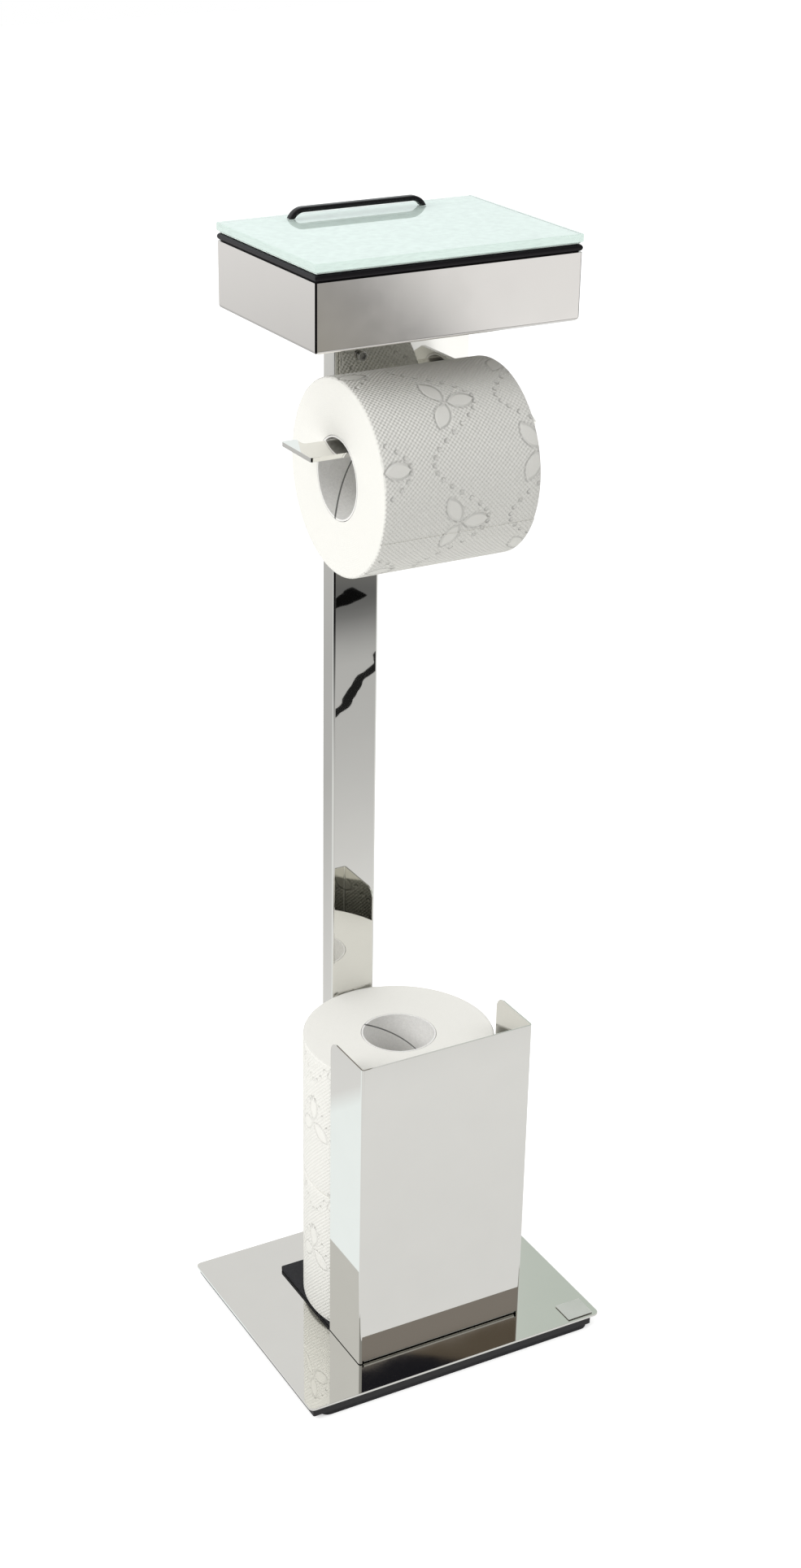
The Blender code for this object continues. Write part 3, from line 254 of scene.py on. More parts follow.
def add_node(tree, kind, sockets=None, stops=None, **settings):
    """Add a node: each socket's name or number takes a value or the output that feeds it."""
    node = tree.nodes.new(kind)
    for name, value in settings.items():
        setattr(node, name, value)
    for socket, value in (sockets or {}).items():
        if isinstance(value, bpy.types.NodeSocket):
            tree.links.new(value, node.inputs[socket])
        else:
            node.inputs[socket].default_value = value
    if stops:
        elements = node.color_ramp.elements
        elements.remove(elements[1])
        for number, (place, level) in enumerate(stops):
            element = elements.new(place) if number else elements[0]
            element.position = place
            element.color = opaque(level if isinstance(level, tuple) else (level, level, level))
    return node


def add_chain(tree, kind, known, steps):
    """Add one node for each step of a formula, and keep its output under the step's name.

    A step is its name, its operation, and numbers or the names of earlier outputs.
    """
    for result, operation, *inputs in steps:
        sockets = {number: known.get(value, value) for number, value in enumerate(inputs)}
        known[result] = add_node(tree, kind, sockets, operation=operation).outputs[0]


def rising(result, source, start, length):
    """Steps of a value that is 0 up to a start, and rises to 1 over a length of its source."""
    return (
        (f"{result}_from", "SUBTRACT", source, start),
        (f"{result}_share", "DIVIDE", f"{result}_from", length),
        (f"{result}_most", "MINIMUM", f"{result}_share", 1.0),
        (result, "MAXIMUM", f"{result}_most", 0.0),
    )


def bare_tree(owner):
    """The node tree of a material or world, emptied."""
    owner.use_nodes = True
    owner.node_tree.nodes.clear()
    return owner.node_tree


def start_material(name):
    """A material and its empty node tree."""
    material = bpy.data.materials.new(name)
    return material, bare_tree(material)


def show_surface(tree, sockets):
    """Add the Principled shader with its sockets, and show it."""
    shader = add_node(tree, "ShaderNodeBsdfPrincipled", sockets)
    add_node(tree, "ShaderNodeOutputMaterial", {"Surface": shader.outputs[0]})


# Materials

# Sizes of patterns in the finishes, in metres
HAZE_PATCH = 0.0222  # patches that buffing leaves on steel
SHEET_WAVE = 0.050  # unevenness of rolled sheet, 30 to 60 mm long
FINGER_SMEAR = 0.0167  # smears on the glass
PAPER_FIBRE = 0.00111  # clumps of fibre: single fibres are too fine to show
PAPER_DENT = 0.025  # soft dents of a roll that was handled
BOARD_FIBRE = 0.00143  # flecks in recycled board

# The paper's embossing, in metres
FLOWER_ROW = 0.066  # between flowers round a roll, fitted to a whole number of them
FLOWER_COLUMN = 0.048  # between columns of flowers along a roll
LEAF_PLACE = 0.0096  # from a flower's middle to the middle of a leaf
LEAF_ARC = 0.0098  # radius of the two arcs that bound a leaf
LEAF_ARC_PLACE = 0.0052  # from a leaf's midline to the middle of an arc
LEAF_GROOVE = 0.0012  # half the width of a leaf's outline, drawn wide so that it shows
RELIEF = 0.0008  # what a height of 1 stands for
# Heights in that relief
PIP_HEIGHT = 0.30
DOT_DEPTH = 1.3
LEAF_DEPTH = 1.0
LAYER_HEIGHT = 0.012
FIBRE_HEIGHT = 0.06
DENT_HEIGHT = 0.35
# Wound layers are 0.1 mm thick: drawn 1.1 mm apart so that they show on the end faces
LAYER_PITCH = 0.0011
# The embossed outside starts at this share of a roll's radius
OUTSIDE_SHARE = 0.985

# The core board's spiral seam: metres along the core for a turn, and half its width in turns,
# which makes it 1.7 mm wide, more than a real one, so that it shows
SEAM_PITCH = 0.086
SEAM_HALF_WIDTH = 0.006
# Turn of the hanging core's seam, and bearing and height of one point on the spare cores' seam
HANGING_SEAM_TURN = -0.0696
SPARE_SEAM_BEARING = 70 / 360
SPARE_SEAM_HEIGHT = 0.1910


def steel(name, colour, roughness, waviness):
    """Stainless steel sheet or tube, rolled and then buffed or brushed.

    To the eye a mirror that is clear or soft with its roughness. Buffing leaves a faint patchy
    haze, and its images bend a little because the sheet is uneven by some hundredths of a mm.
    """
    material, tree = start_material(name)
    place = add_node(tree, "ShaderNodeTexCoord").outputs["Object"]
    haze = add_node(
        tree, "ShaderNodeTexNoise", {"Vector": place, "Scale": 1 / HAZE_PATCH, "Detail": 4.0},
    ).outputs["Fac"]
    tone = add_node(
        tree, "ShaderNodeMapRange",
        {"Value": haze, "From Min": 0.3, "From Max": 0.7,
         "To Min": roughness * 0.7, "To Max": roughness * 1.4},
    ).outputs["Result"]
    wave = add_node(
        tree, "ShaderNodeTexNoise",
        {"Vector": place, "Scale": 1 / SHEET_WAVE, "Detail": 1.0, "Roughness": 0.4},
    ).outputs["Fac"]
    relief = add_node(
        tree, "ShaderNodeBump", {"Height": wave, "Strength": 1.0, "Distance": waviness},
    ).outputs["Normal"]
    shade = add_node(
        tree, "ShaderNodeMix", {"Factor": haze, 6: shaded(colour, 0.96), 7: opaque(colour)},
        data_type="RGBA",
    ).outputs[2]
    show_surface(tree, {"Base Color": shade, "Metallic": 1.0, "Roughness": tone, "Normal": relief})
    return material


def grained(name, colour, roughness, grain, depth, metallic=0.0, shine=0.5):
    """A coated, moulded, plated or cut surface.

    To the eye an even surface, flecked and dulled by a fine grain whose size and depth are given.
    """
    material, tree = start_material(name)
    place = add_node(tree, "ShaderNodeTexCoord").outputs["Object"]
    speck = add_node(
        tree, "ShaderNodeTexNoise", {"Vector": place, "Scale": 1 / grain, "Detail": 3.0},
    ).outputs["Fac"]
    shade = add_node(
        tree, "ShaderNodeMix", {"Factor": speck, 6: shaded(colour, 0.85), 7: shaded(colour, 1.15)},
        data_type="RGBA",
    ).outputs[2]
    tone = add_node(
        tree, "ShaderNodeMapRange",
        {"Value": speck, "From Min": 0.25, "From Max": 0.75,
         "To Min": roughness - 0.06, "To Max": roughness + 0.06},
    ).outputs["Result"]
    relief = add_node(
        tree, "ShaderNodeBump", {"Height": speck, "Strength": 1.0, "Distance": depth},
    ).outputs["Normal"]
    show_surface(tree, {
        "Base Color": shade, "Metallic": metallic, "Roughness": tone, "Normal": relief,
        "Specular IOR Level": shine,
    })
    return material


def lid_glass_material(tint):
    """Float glass, its edges ground and polished.

    To the eye clear and faintly green, with sharp highlights and slight smears. Light on its way
    to the film below passes straight through.
    """
    material, tree = start_material("Float glass, polished edges")
    place = add_node(tree, "ShaderNodeTexCoord").outputs["Object"]
    smear = add_node(
        tree, "ShaderNodeTexNoise", {"Vector": place, "Scale": 1 / FINGER_SMEAR, "Detail": 3.0},
    ).outputs["Fac"]
    tone = add_node(
        tree, "ShaderNodeMapRange",
        {"Value": smear, "From Min": 0.35, "From Max": 0.75, "To Min": 0.0, "To Max": 0.03},
    ).outputs["Result"]
    paler = opaque([channel ** 0.8 for channel in tint])
    shade = add_node(
        tree, "ShaderNodeMix", {"Factor": smear, 6: opaque(tint), 7: paler}, data_type="RGBA",
    ).outputs[2]
    shader = add_node(tree, "ShaderNodeBsdfPrincipled", {
        "Base Color": shade, "Roughness": tone, "Transmission Weight": 1.0, "IOR": 1.5,
    })
    path = add_node(tree, "ShaderNodeLightPath")
    lit = add_node(
        tree, "ShaderNodeMath",
        {0: path.outputs["Is Shadow Ray"], 1: path.outputs["Is Diffuse Ray"]},
        operation="MAXIMUM",
    )
    clear = add_node(tree, "ShaderNodeBsdfTransparent", {"Color": opaque(tint)})
    mix = add_node(
        tree, "ShaderNodeMixShader", {0: lit.outputs[0], 1: shader.outputs[0], 2: clear.outputs[0]},
    )
    add_node(tree, "ShaderNodeOutputMaterial", {"Surface": mix.outputs[0]})
    return material


def round_axis(tree, centre, turn):
    """A place as seen from a roll's axis: angle round it, distance from it and way along it."""
    shift = -(turn.to_matrix() @ centre)
    place = add_node(tree, "ShaderNodeTexCoord").outputs["Object"]
    local = add_node(
        tree, "ShaderNodeMapping", {"Vector": place, "Location": shift, "Rotation": turn},
        vector_type="POINT",
    )
    split = add_node(tree, "ShaderNodeSeparateXYZ", {0: local.outputs[0]})
    angle = add_node(
        tree, "ShaderNodeMath", {0: split.outputs["Y"], 1: split.outputs["X"]},
        operation="ARCTAN2",
    )
    flat = add_node(
        tree, "ShaderNodeCombineXYZ", {"X": split.outputs["X"], "Y": split.outputs["Y"]},
    )
    distance = add_node(tree, "ShaderNodeVectorMath", {0: flat.outputs[0]}, operation="LENGTH")
    return {
        "angle": angle.outputs[0],
        "distance": distance.outputs["Value"],
        "along": split.outputs["Z"],
    }


def tissue(name, colour, centre, turn, radius, sizes, emboss):
    """Layered tissue paper, embossed between rollers and wound.

    To the eye soft and quite matt, with rows of fine pips, flowers of three outlined leaves and a
    dotted line that winds between them. Its end faces show faint rings of layers.
    """
    material, tree = start_material(name)
    known = round_axis(tree, centre, turn)
    place = add_node(tree, "ShaderNodeTexCoord").outputs["Object"]
    known["fibre"] = fibre = add_node(
        tree, "ShaderNodeTexNoise",
        {"Vector": place, "Scale": 1 / PAPER_FIBRE, "Detail": 4.0, "Roughness": 0.6},
    ).outputs["Fac"]
    known["dent"] = add_node(
        tree, "ShaderNodeTexNoise", {"Vector": place, "Scale": 1 / PAPER_DENT, "Detail": 2.0},
    ).outputs["Fac"]
    girth = 2 * math.pi * radius
    row = girth / round(girth / FLOWER_ROW)
    dot_step = row / round(row / sizes.dot_pitch)
    add_chain(tree, "ShaderNodeMath", known, (
        ("around", "MULTIPLY", "angle", radius),
        # Fine staggered pips: their real pitch is 1 mm, drawn coarser so that they show
        ("pip_turn", "MULTIPLY", "angle", float(round(girth / sizes.pip_pitch))),
        ("pip_way", "MULTIPLY", "along", 2 * math.pi / sizes.pip_pitch),
        ("pip_turn_sine", "SINE", "pip_turn"),
        ("pip_way_sine", "SINE", "pip_way"),
        ("pips", "MULTIPLY", "pip_turn_sine", "pip_way_sine"),
        # Flowers stand in columns, every second one moved by half a row
        ("column_count", "DIVIDE", "along", FLOWER_COLUMN),
        ("column_place", "ADD", "column_count", 0.5),
        ("column_number", "FLOOR", "column_place"),
        ("column_middle", "MULTIPLY", "column_number", FLOWER_COLUMN),
        ("local_along", "SUBTRACT", "along", "column_middle"),
        ("odd", "PINGPONG", "column_number", 1.0),
        ("stagger", "MULTIPLY", "odd", row / 2),
        ("staggered", "ADD", "around", "stagger"),
        ("row_count", "DIVIDE", "staggered", row),
        ("row_place", "ADD", "row_count", 0.5),
        ("row_number", "FLOOR", "row_place"),
        ("row_middle", "MULTIPLY", "row_number", row),
        ("local_around", "SUBTRACT", "staggered", "row_middle"),
        ("local_angle", "ARCTAN2", "local_around", "local_along"),
        ("square_a", "MULTIPLY", "local_along", "local_along"),
        ("square_sum", "MULTIPLY_ADD", "local_around", "local_around", "square_a"),
        ("local_radius", "SQRT", "square_sum"),
        # Dots on a line that winds between the flowers
        ("dot_count", "DIVIDE", "staggered", dot_step),
        ("dot_number", "FLOOR", "dot_count"),
        ("dot_place", "ADD", "dot_number", 0.5),
        ("dot_middle", "MULTIPLY", "dot_place", dot_step),
        ("dot_phase", "MULTIPLY", "dot_middle", 2 * math.pi / row),
        ("dot_cosine", "COSINE", "dot_phase"),
        ("dot_along", "MULTIPLY_ADD", "dot_cosine", -sizes.dot_swing, "local_along"),
        ("dot_around", "SUBTRACT", "staggered", "dot_middle"),
        ("dot_square", "MULTIPLY", "dot_along", "dot_along"),
        ("dot_sum", "MULTIPLY_ADD", "dot_around", "dot_around", "dot_square"),
        ("dot_share", "DIVIDE", "dot_sum", (sizes.dot_size / 2) ** 2),
        ("dot_bowl", "SUBTRACT", 1.0, "dot_share"),
        ("dots", "MAXIMUM", "dot_bowl", 0.0),
        # Three leaves round each flower's middle, each bounded by two arcs
        ("third", "WRAP", "local_angle", math.pi / 3, -math.pi / 3),
        ("third_cosine", "COSINE", "third"),
        ("third_sine", "SINE", "third"),
        ("leaf_along", "MULTIPLY", "local_radius", "third_cosine"),
        ("leaf_across", "MULTIPLY", "local_radius", "third_sine"),
        ("leaf_side", "ABSOLUTE", "leaf_across"),
        ("leaf_centred", "SUBTRACT", "leaf_along", LEAF_PLACE),
        ("leaf_offset", "ADD", "leaf_side", LEAF_ARC_PLACE),
        ("leaf_square", "MULTIPLY", "leaf_centred", "leaf_centred"),
        ("leaf_sum", "MULTIPLY_ADD", "leaf_offset", "leaf_offset", "leaf_square"),
        ("leaf_distance", "SQRT", "leaf_sum"),
        ("leaf_edge", "SUBTRACT", "leaf_distance", LEAF_ARC),
        ("leaf_away", "ABSOLUTE", "leaf_edge"),
        ("leaf_share", "DIVIDE", "leaf_away", LEAF_GROOVE),
        ("leaf_groove", "SUBTRACT", 1.0, "leaf_share"),
        ("leaves", "MAXIMUM", "leaf_groove", 0.0),
        # Plain paper inside each leaf
        ("leaf_inside", "LESS_THAN", "leaf_edge", 0.0),
        ("leaf_plain", "SUBTRACT", 1.0, "leaf_inside"),
        ("pips_kept", "MULTIPLY", "pips", "leaf_plain"),
        ("pip_height", "MULTIPLY", "pips_kept", PIP_HEIGHT),
        ("dot_depth", "MULTIPLY", "dots", -DOT_DEPTH),
        ("leaf_depth", "MULTIPLY", "leaves", -LEAF_DEPTH),
        ("marks", "ADD", "dot_depth", "leaf_depth"),
        ("all_marks", "ADD", "marks", "pip_height"),
        ("outside", "GREATER_THAN", "distance", radius * OUTSIDE_SHARE),
        ("pattern", "MULTIPLY", "all_marks", "outside"),
        # Rings of wound layers on the end faces
        ("layer_phase", "MULTIPLY", "distance", 2 * math.pi / LAYER_PITCH),
        ("layer_wave", "SINE", "layer_phase"),
        ("end_face", "SUBTRACT", 1.0, "outside"),
        ("layers", "MULTIPLY", "layer_wave", "end_face"),
        ("embossed", "MULTIPLY", "pattern", emboss),
        ("layered", "MULTIPLY_ADD", "layers", LAYER_HEIGHT, "embossed"),
        ("fuzzy", "MULTIPLY_ADD", "fibre", FIBRE_HEIGHT, "layered"),
        ("height", "MULTIPLY_ADD", "dent", DENT_HEIGHT, "fuzzy"),
    ))
    relief = add_node(
        tree, "ShaderNodeBump", {"Height": known["height"], "Strength": 1.0, "Distance": RELIEF},
    ).outputs["Normal"]
    shade = add_node(
        tree, "ShaderNodeMix", {"Factor": fibre, 6: shaded(colour, 0.95), 7: opaque(colour)},
        data_type="RGBA",
    ).outputs[2]
    show_surface(tree, {
        "Base Color": shade, "Roughness": 1.0, "Normal": relief, "Specular IOR Level": 0.2,
    })
    return material


def core_board(name, colour, centre, turn, seam_turn):
    """Grey recycled board, wound in a spiral and glued.

    To the eye dull and flecked with fibres, with its seam as a thin shadow line.
    """
    material, tree = start_material(name)
    known = round_axis(tree, centre, turn)
    add_chain(tree, "ShaderNodeMath", known, (
        ("turns", "MULTIPLY_ADD", "angle", 0.5 / math.pi, seam_turn),
        ("spiral", "MULTIPLY_ADD", "along", -1 / SEAM_PITCH, "turns"),
        ("seam_place", "FRACT", "spiral"),
        ("seam_away", "SUBTRACT", "seam_place", 0.5),
        ("seam_distance", "ABSOLUTE", "seam_away"),
        ("seam", "LESS_THAN", "seam_distance", SEAM_HALF_WIDTH),
    ))
    place = add_node(tree, "ShaderNodeTexCoord").outputs["Object"]
    fibre = add_node(
        tree, "ShaderNodeTexNoise",
        {"Vector": place, "Scale": 1 / BOARD_FIBRE, "Detail": 5.0, "Roughness": 0.7},
    ).outputs["Fac"]
    board = add_node(
        tree, "ShaderNodeMix", {"Factor": fibre, 6: shaded(colour, 0.8), 7: shaded(colour, 1.15)},
        data_type="RGBA",
    )
    shade = add_node(
        tree, "ShaderNodeMix",
        {"Factor": known["seam"], 6: board.outputs[2], 7: shaded(colour, 0.22)},
        data_type="RGBA",
    ).outputs[2]
    relief = add_node(
        tree, "ShaderNodeBump", {"Height": fibre, "Strength": 0.6, "Distance": 0.0003},
    ).outputs["Normal"]
    show_surface(tree, {"Base Color": shade, "Roughness": 0.9, "Normal": relief})
    return material


# Pieces

UPRIGHT = Euler((0, 0, 0))
ACROSS = Euler((0, -math.pi / 2, 0))

# Radius of the hole in a roll's paper, the core's outside as in the CAD
PAPER_BORE = 0.0234
# Faces across a soft rim, and along a roll between its rims
RIM_STEPS = 4
LENGTH_STEPS = 20
# Place of a ring of points on a roll's flat ends, between its bore and its rim
END_RING_SHARE = 0.72
# Widths of the eased edges on the two smallest visible kinds of piece
PLATE_EDGE = 0.0001
SCREW_EDGE = 0.00015


def middle_of(node):
    """The middle of a CAD node's box."""
    low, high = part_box(node)
    return (low + high) / 2


def wound_roll(node, sizes, tail_angle):
    """A roll's paper on its own Z axis: bore, flat ends, soft rims and a last sheet with a step."""
    low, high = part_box(node)
    spans = sorted(high - low)
    half = spans[0] / 2
    radius = spans[2] / 2
    rim = sizes.roll_rim
    reaches = (PAPER_BORE, radius * END_RING_SHARE, radius - 4 * rim, radius - 2 * rim)
    end = [(reach, -half) for reach in reaches]
    for step in range(RIM_STEPS + 1):
        turn = math.pi / 2 * step / RIM_STEPS
        end.append((radius - rim + rim * math.sin(turn), -half + rim - rim * math.cos(turn)))
    side = [
        (radius, (half - rim) * (2 * step / LENGTH_STEPS - 1)) for step in range(1, LENGTH_STEPS)
    ]
    profile = end + side + [(reach, -height) for reach, height in reversed(end)]
    mesh_data = bmesh.new()
    verts = [
        mesh_data.verts.new((reach * math.cos(tail_angle), reach * math.sin(tail_angle), height))
        for reach, height in profile
    ]
    edges = [mesh_data.edges.new(pair) for pair in zip(verts, verts[1:] + verts[:1])]
    # The full turn isn't merged by the spin, because the outside is to end in a step
    bmesh.ops.spin(
        mesh_data, geom=verts + edges, cent=(0, 0, 0), axis=(0, 0, 1), angle=2 * math.pi,
        steps=sizes.roll_steps, use_merge=False,
    )
    mesh_data.verts.ensure_lookup_table()
    for index, vert in enumerate(mesh_data.verts):
        away = math.hypot(vert.co.x, vert.co.y)
        outer_share = max(0.0, min(1.0, (away - radius + 4 * rim) / (3 * rim)))
        turn_share = index // len(profile) / sizes.roll_steps
        shrink = sizes.tail_step * outer_share * turn_share
        vert.co.x *= 1 - shrink / away
        vert.co.y *= 1 - shrink / away
    bmesh.ops.remove_doubles(mesh_data, verts=mesh_data.verts, dist=MERGE_DISTANCE)
    gap = [edge for edge in mesh_data.edges if edge.is_boundary]
    bmesh.ops.holes_fill(mesh_data, edges=gap, sides=0)
    bmesh.ops.recalc_face_normals(mesh_data, faces=mesh_data.faces)
    return mesh_data


class BUTLER_OT_base(Operator):
    """Base plate, its small bare plate, the weight and the underlay"""

    bl_idname = "butler.base"
    bl_label = "Base"

    def execute(self, context):
        sizes, finishes = context.scene.butler_sizes, context.scene.butler_finishes
        # Buffed: what stands on it shows in it sharp and straight
        polished = steel(
            "Mirror polished stainless sheet, base", finishes.mirror_steel,
            roughness=0.02, waviness=0.00002,
        )
        refine("base_plate", "polished", polished, "stand", sizes.base_edge)
        # Brushed: fine scratches blur what it mirrors into an even pale sheen
        brushed = steel(
            "Brushed stainless plate, bare", [c * 0.93 for c in finishes.mirror_steel],
            roughness=0.3, waviness=0.00002,
        )
        refine("badge_plate", "brushed", brushed, "stand", edge=PLATE_EDGE)
        # Baked powder: black with a soft sheen and a slightly pebbled skin
        coated = grained(
            "Powder coated steel board, black", finishes.powder_black,
            roughness=0.5, grain=0.0008, depth=0.00004,
        )
        refine("base_weight", "coated", coated, "stand", sizes.soft_edge)
        # Rolled sheet: dull dark grey without highlights
        rubber = grained(
            "Rubber sheet, matt black", finishes.rubber_black,
            roughness=0.8, grain=0.0006, depth=0.00006,
        )
        refine("base_underlay", "rubber", rubber, "stand", sizes.soft_edge)
        return {"FINISHED"}


class BUTLER_OT_post(Operator):
    """Post tube, and the hidden blocks, screws and nuts"""

    bl_idname = "butler.post"
    bl_label = "Post"

    def execute(self, context):
        finishes = context.scene.butler_finishes
        # Drawn and buffed: the clearest mirror of the stand, its images wavy along the height
        polished = steel(
            "Mirror polished stainless tube", finishes.mirror_steel,
            roughness=0.012, waviness=0.00010,
        )
        refine("post_tube", "polished", polished, "stand")
        # Turned, then zinc plated: dull pale grey metal
        plated = grained(
            "Zinc plated steel, turned", finishes.zinc_steel,
            roughness=0.35, grain=0.0005, depth=0.00002, metallic=1.0,
        )
        for node in (
            "post_foot_block", "post_head_block", "post_screw_left", "post_screw_right",
            "box_screw_left", "box_screw_right", "holder_nut_left", "holder_nut_right",
            "handle_nut_left", "handle_nut_right",
        ):
            repaint(node, plated)
        return {"FINISHED"}


class BUTLER_OT_holder(Operator):
    """Folded holder for the spare rolls, and its mat"""

    bl_idname = "butler.holder"
    bl_label = "Spare roll holder"

    def execute(self, context):
        sizes, finishes = context.scene.butler_sizes, context.scene.butler_finishes
        # Buffed before folding: a clear mirror with bright lines along its folds
        polished = steel(
            "Mirror polished stainless sheet, holder", finishes.mirror_steel,
            roughness=0.02, waviness=0.00002,
        )
        refine("holder_sheet", "polished", polished, "stand", sizes.steel_edge)
        # Foamed and cut: the dullest black, coarse up close
        foam = grained(
            "Foam rubber mat, black", finishes.rubber_black,
            roughness=0.85, grain=0.0010, depth=0.0001,
        )
        refine("holder_mat", "rubber", foam, "stand", sizes.soft_edge)
        return {"FINISHED"}


class BUTLER_OT_bracket(Operator):
    """Bent bracket with the roll arm, and its two socket screws"""

    bl_idname = "butler.bracket"
    bl_label = "Bracket and roll arm"

    def execute(self, context):
        sizes, finishes = context.scene.butler_sizes, context.scene.butler_finishes
        # Thicker sheet, buffed after bending: a mirror a little softer than the base's
        polished = steel(
            "Mirror polished stainless sheet, bracket", finishes.mirror_steel,
            roughness=0.03, waviness=0.00003,
        )
        refine("roll_bracket", "polished", polished, "stand", sizes.steel_edge)
        # Nickel plated: brighter and smoother than zinc, with small sharp highlights
        plated = grained(
            "Nickel plated socket screw", finishes.zinc_steel,
            roughness=0.22, grain=0.0005, depth=0.00001, metallic=1.0,
        )
        for node in ("bracket_screw_upper", "bracket_screw_lower"):
            refine(node, "plated", plated, "stand", edge=SCREW_EDGE)
        return {"FINISHED"}


class BUTLER_OT_box(Operator):
    """Wipes box: folded steel tray and its black liner"""

    bl_idname = "butler.box"
    bl_label = "Wipes box"

    def execute(self, context):
        sizes, finishes = context.scene.butler_sizes, context.scene.butler_finishes
        # Satin polished: it mirrors the room as soft gradients without outlines
        satin = steel(
            "Satin stainless sheet, box", finishes.satin_steel, roughness=0.09, waviness=0.00001,
        )
        refine("box_tray", "satin", satin, "stand", sizes.steel_edge)
        # Moulded in an etched tool: near black with a weak wide sheen
        moulded = grained(
            "Moulded ABS liner, black", finishes.plastic_black,
            roughness=0.35, grain=0.0007, depth=0.00003, shine=0.25,
        )
        refine("box_liner", "moulded", moulded, "stand")
        return {"FINISHED"}


class BUTLER_OT_lid(Operator):
    """Glass lid with its white film, locating plate and bow handle"""

    bl_idname = "butler.lid"
    bl_label = "Lid"

    def execute(self, context):
        finishes = context.scene.butler_finishes
        float_glass = lid_glass_material(finishes.glass_tint)
        glass = refine("lid_glass", "polished", float_glass, "lid")
        # Bonded without air: faintly mottled white under the glass, with no gloss of its own
        white = grained(
            "White film under glass", finishes.film_white,
            roughness=0.5, grain=0.004, depth=0.00001, shine=0.0,
        )
        # The glass's own underside meets the film, not air
        glass.data.materials.append(white)
        for face in glass.data.polygons:
            if face.normal.z < -0.9:
                face.material_index = 1
        repaint("lid_backing", white)
        # Moulded: black with the sheen of plain plastic
        moulded = grained(
            "Moulded ABS locator, black", finishes.plastic_black,
            roughness=0.4, grain=0.0007, depth=0.00003,
        )
        refine("lid_locator", "moulded", moulded, "lid")
        # Baked powder on a round bar: black with one narrow pale line of light along it
        coated = grained(
            "Powder coated steel bow, black", finishes.powder_black,
            roughness=0.3, grain=0.0006, depth=0.00003, shine=0.25,
        )
        refine("lid_handle", "coated", coated, "lid")
        return {"FINISHED"}


class BUTLER_OT_hanging_roll(Operator):
    """Roll on the arm: embossed tissue wound on a board core"""

    bl_idname = "butler.hanging_roll"
    bl_label = "Hanging roll"

    def execute(self, context):
        sizes, finishes = context.scene.butler_sizes, context.scene.butler_finishes
        centre = middle_of("hanging_roll_core")
        low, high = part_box("hanging_roll_paper")
        radius = (high.y - low.y) / 2
        mesh_data = wound_roll("hanging_roll_paper", sizes, math.radians(-65))
        quarter = Matrix.Rotation(math.pi / 2, 3, "Y")
        bmesh.ops.rotate(mesh_data, verts=mesh_data.verts, matrix=quarter)
        bmesh.ops.translate(mesh_data, verts=mesh_data.verts, vec=centre)
        paper = tissue(
            "Embossed tissue, hanging roll", finishes.tissue_white, centre, ACROSS, radius, sizes,
            emboss=1.0,
        )
        add_piece(
            mesh_data, "hanging_roll_tissue", paper, "hanging_roll", "hanging_roll_paper",
        )
        board = core_board(
            "Wound core board, hanging roll", finishes.board_grey, centre, ACROSS,
            HANGING_SEAM_TURN,
        )
        repaint("hanging_roll_core", board)
        return {"FINISHED"}


class BUTLER_OT_spare_rolls(Operator):
    """Two full rolls standing in the holder"""

    bl_idname = "butler.spare_rolls"
    bl_label = "Spare rolls"

    def execute(self, context):
        sizes, finishes = context.scene.butler_sizes, context.scene.butler_finishes
        for side, tail_angle in (("lower", math.radians(60)), ("upper", math.radians(75))):
            body = f"spare_roll_{side}"
            node = f"{body}_paper"
            centre = middle_of(node)
            low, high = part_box(node)
            radius = (high.x - low.x) / 2
            mesh_data = wound_roll(node, sizes, tail_angle)
            bmesh.ops.translate(mesh_data, verts=mesh_data.verts, vec=centre)
            # Squeezed in its pack, a full roll shows its embossing less
            paper = tissue(
                f"Embossed tissue, {side} spare roll", finishes.tissue_white, centre, UPRIGHT,
                radius, sizes, emboss=0.7,
            )
            add_piece(mesh_data, f"{body}_tissue", paper, body, node)
            seam_turn = 0.5 - SPARE_SEAM_BEARING + (SPARE_SEAM_HEIGHT - centre.z) / SEAM_PITCH
            board = core_board(
                f"Wound core board, {side} spare roll", finishes.board_grey, centre, UPRIGHT,
                seam_turn,
            )
            repaint(f"{body}_core", board)
        return {"FINISHED"}


# Studio

FLOOR_HALF_WIDTH = 6.0
WHITE = (1.0, 1.0, 1.0)
# Bluish white of the floor and the wall just behind the stand
SKY_BLUE = (1.0, 1.06, 1.07)
# Green grey of the room's back right corner
DULL_GREEN = (0.59, 0.65, 0.60)

# Bearing from the stand as a share of a turn: 0 the back, 0.25 left, 0.5 the front, 0.75 right
BEARING_STEPS = (
    ("minus_y", "MULTIPLY", "y", -1.0),
    ("bearing", "ARCTAN2", "x", "minus_y"),
    ("bearing_share", "MULTIPLY_ADD", "bearing", 0.5 / math.pi, 0.5),
)

# Distances from the stand in metres at which the far floor and the dark room on the left start,
# and over which they come in
FAR_START, FAR_FADE = 1.25, 0.3
ROOM_START, ROOM_FADE = 0.75, 0.4
# Bearings between which that room lies, and how much wider it is where it is fully dark
ROOM_FROM, ROOM_TO, ROOM_WIDER = 0.27, 0.49, 0.055
# Bearing and distance up to which bright paper lies beyond the dark front, and its extra brightness
BRIGHT_FROM, BRIGHT_REACH, BRIGHT_GAIN = 0.5845, 2.47, 0.35
# The far floor's edges lean by this share of a turn for each metre, and start from an offset
LEAN, LEAN_OFFSET = 0.0092, -0.026

# What polished steel mirrors far off at floor level, by bearing: a dark front, then bright paper
FAR_STOPS = (
    (0.0, 0.79), (0.22, 0.95), (0.25, 0.95), (0.28, 0.03), (0.535, 0.03),
    (0.548, (0.42, 0.39, 0.30)), (0.5775, 0.36), (0.5845, 0.96), (0.60, 0.95), (0.75, 0.95),
    (1.0, 0.79),
)
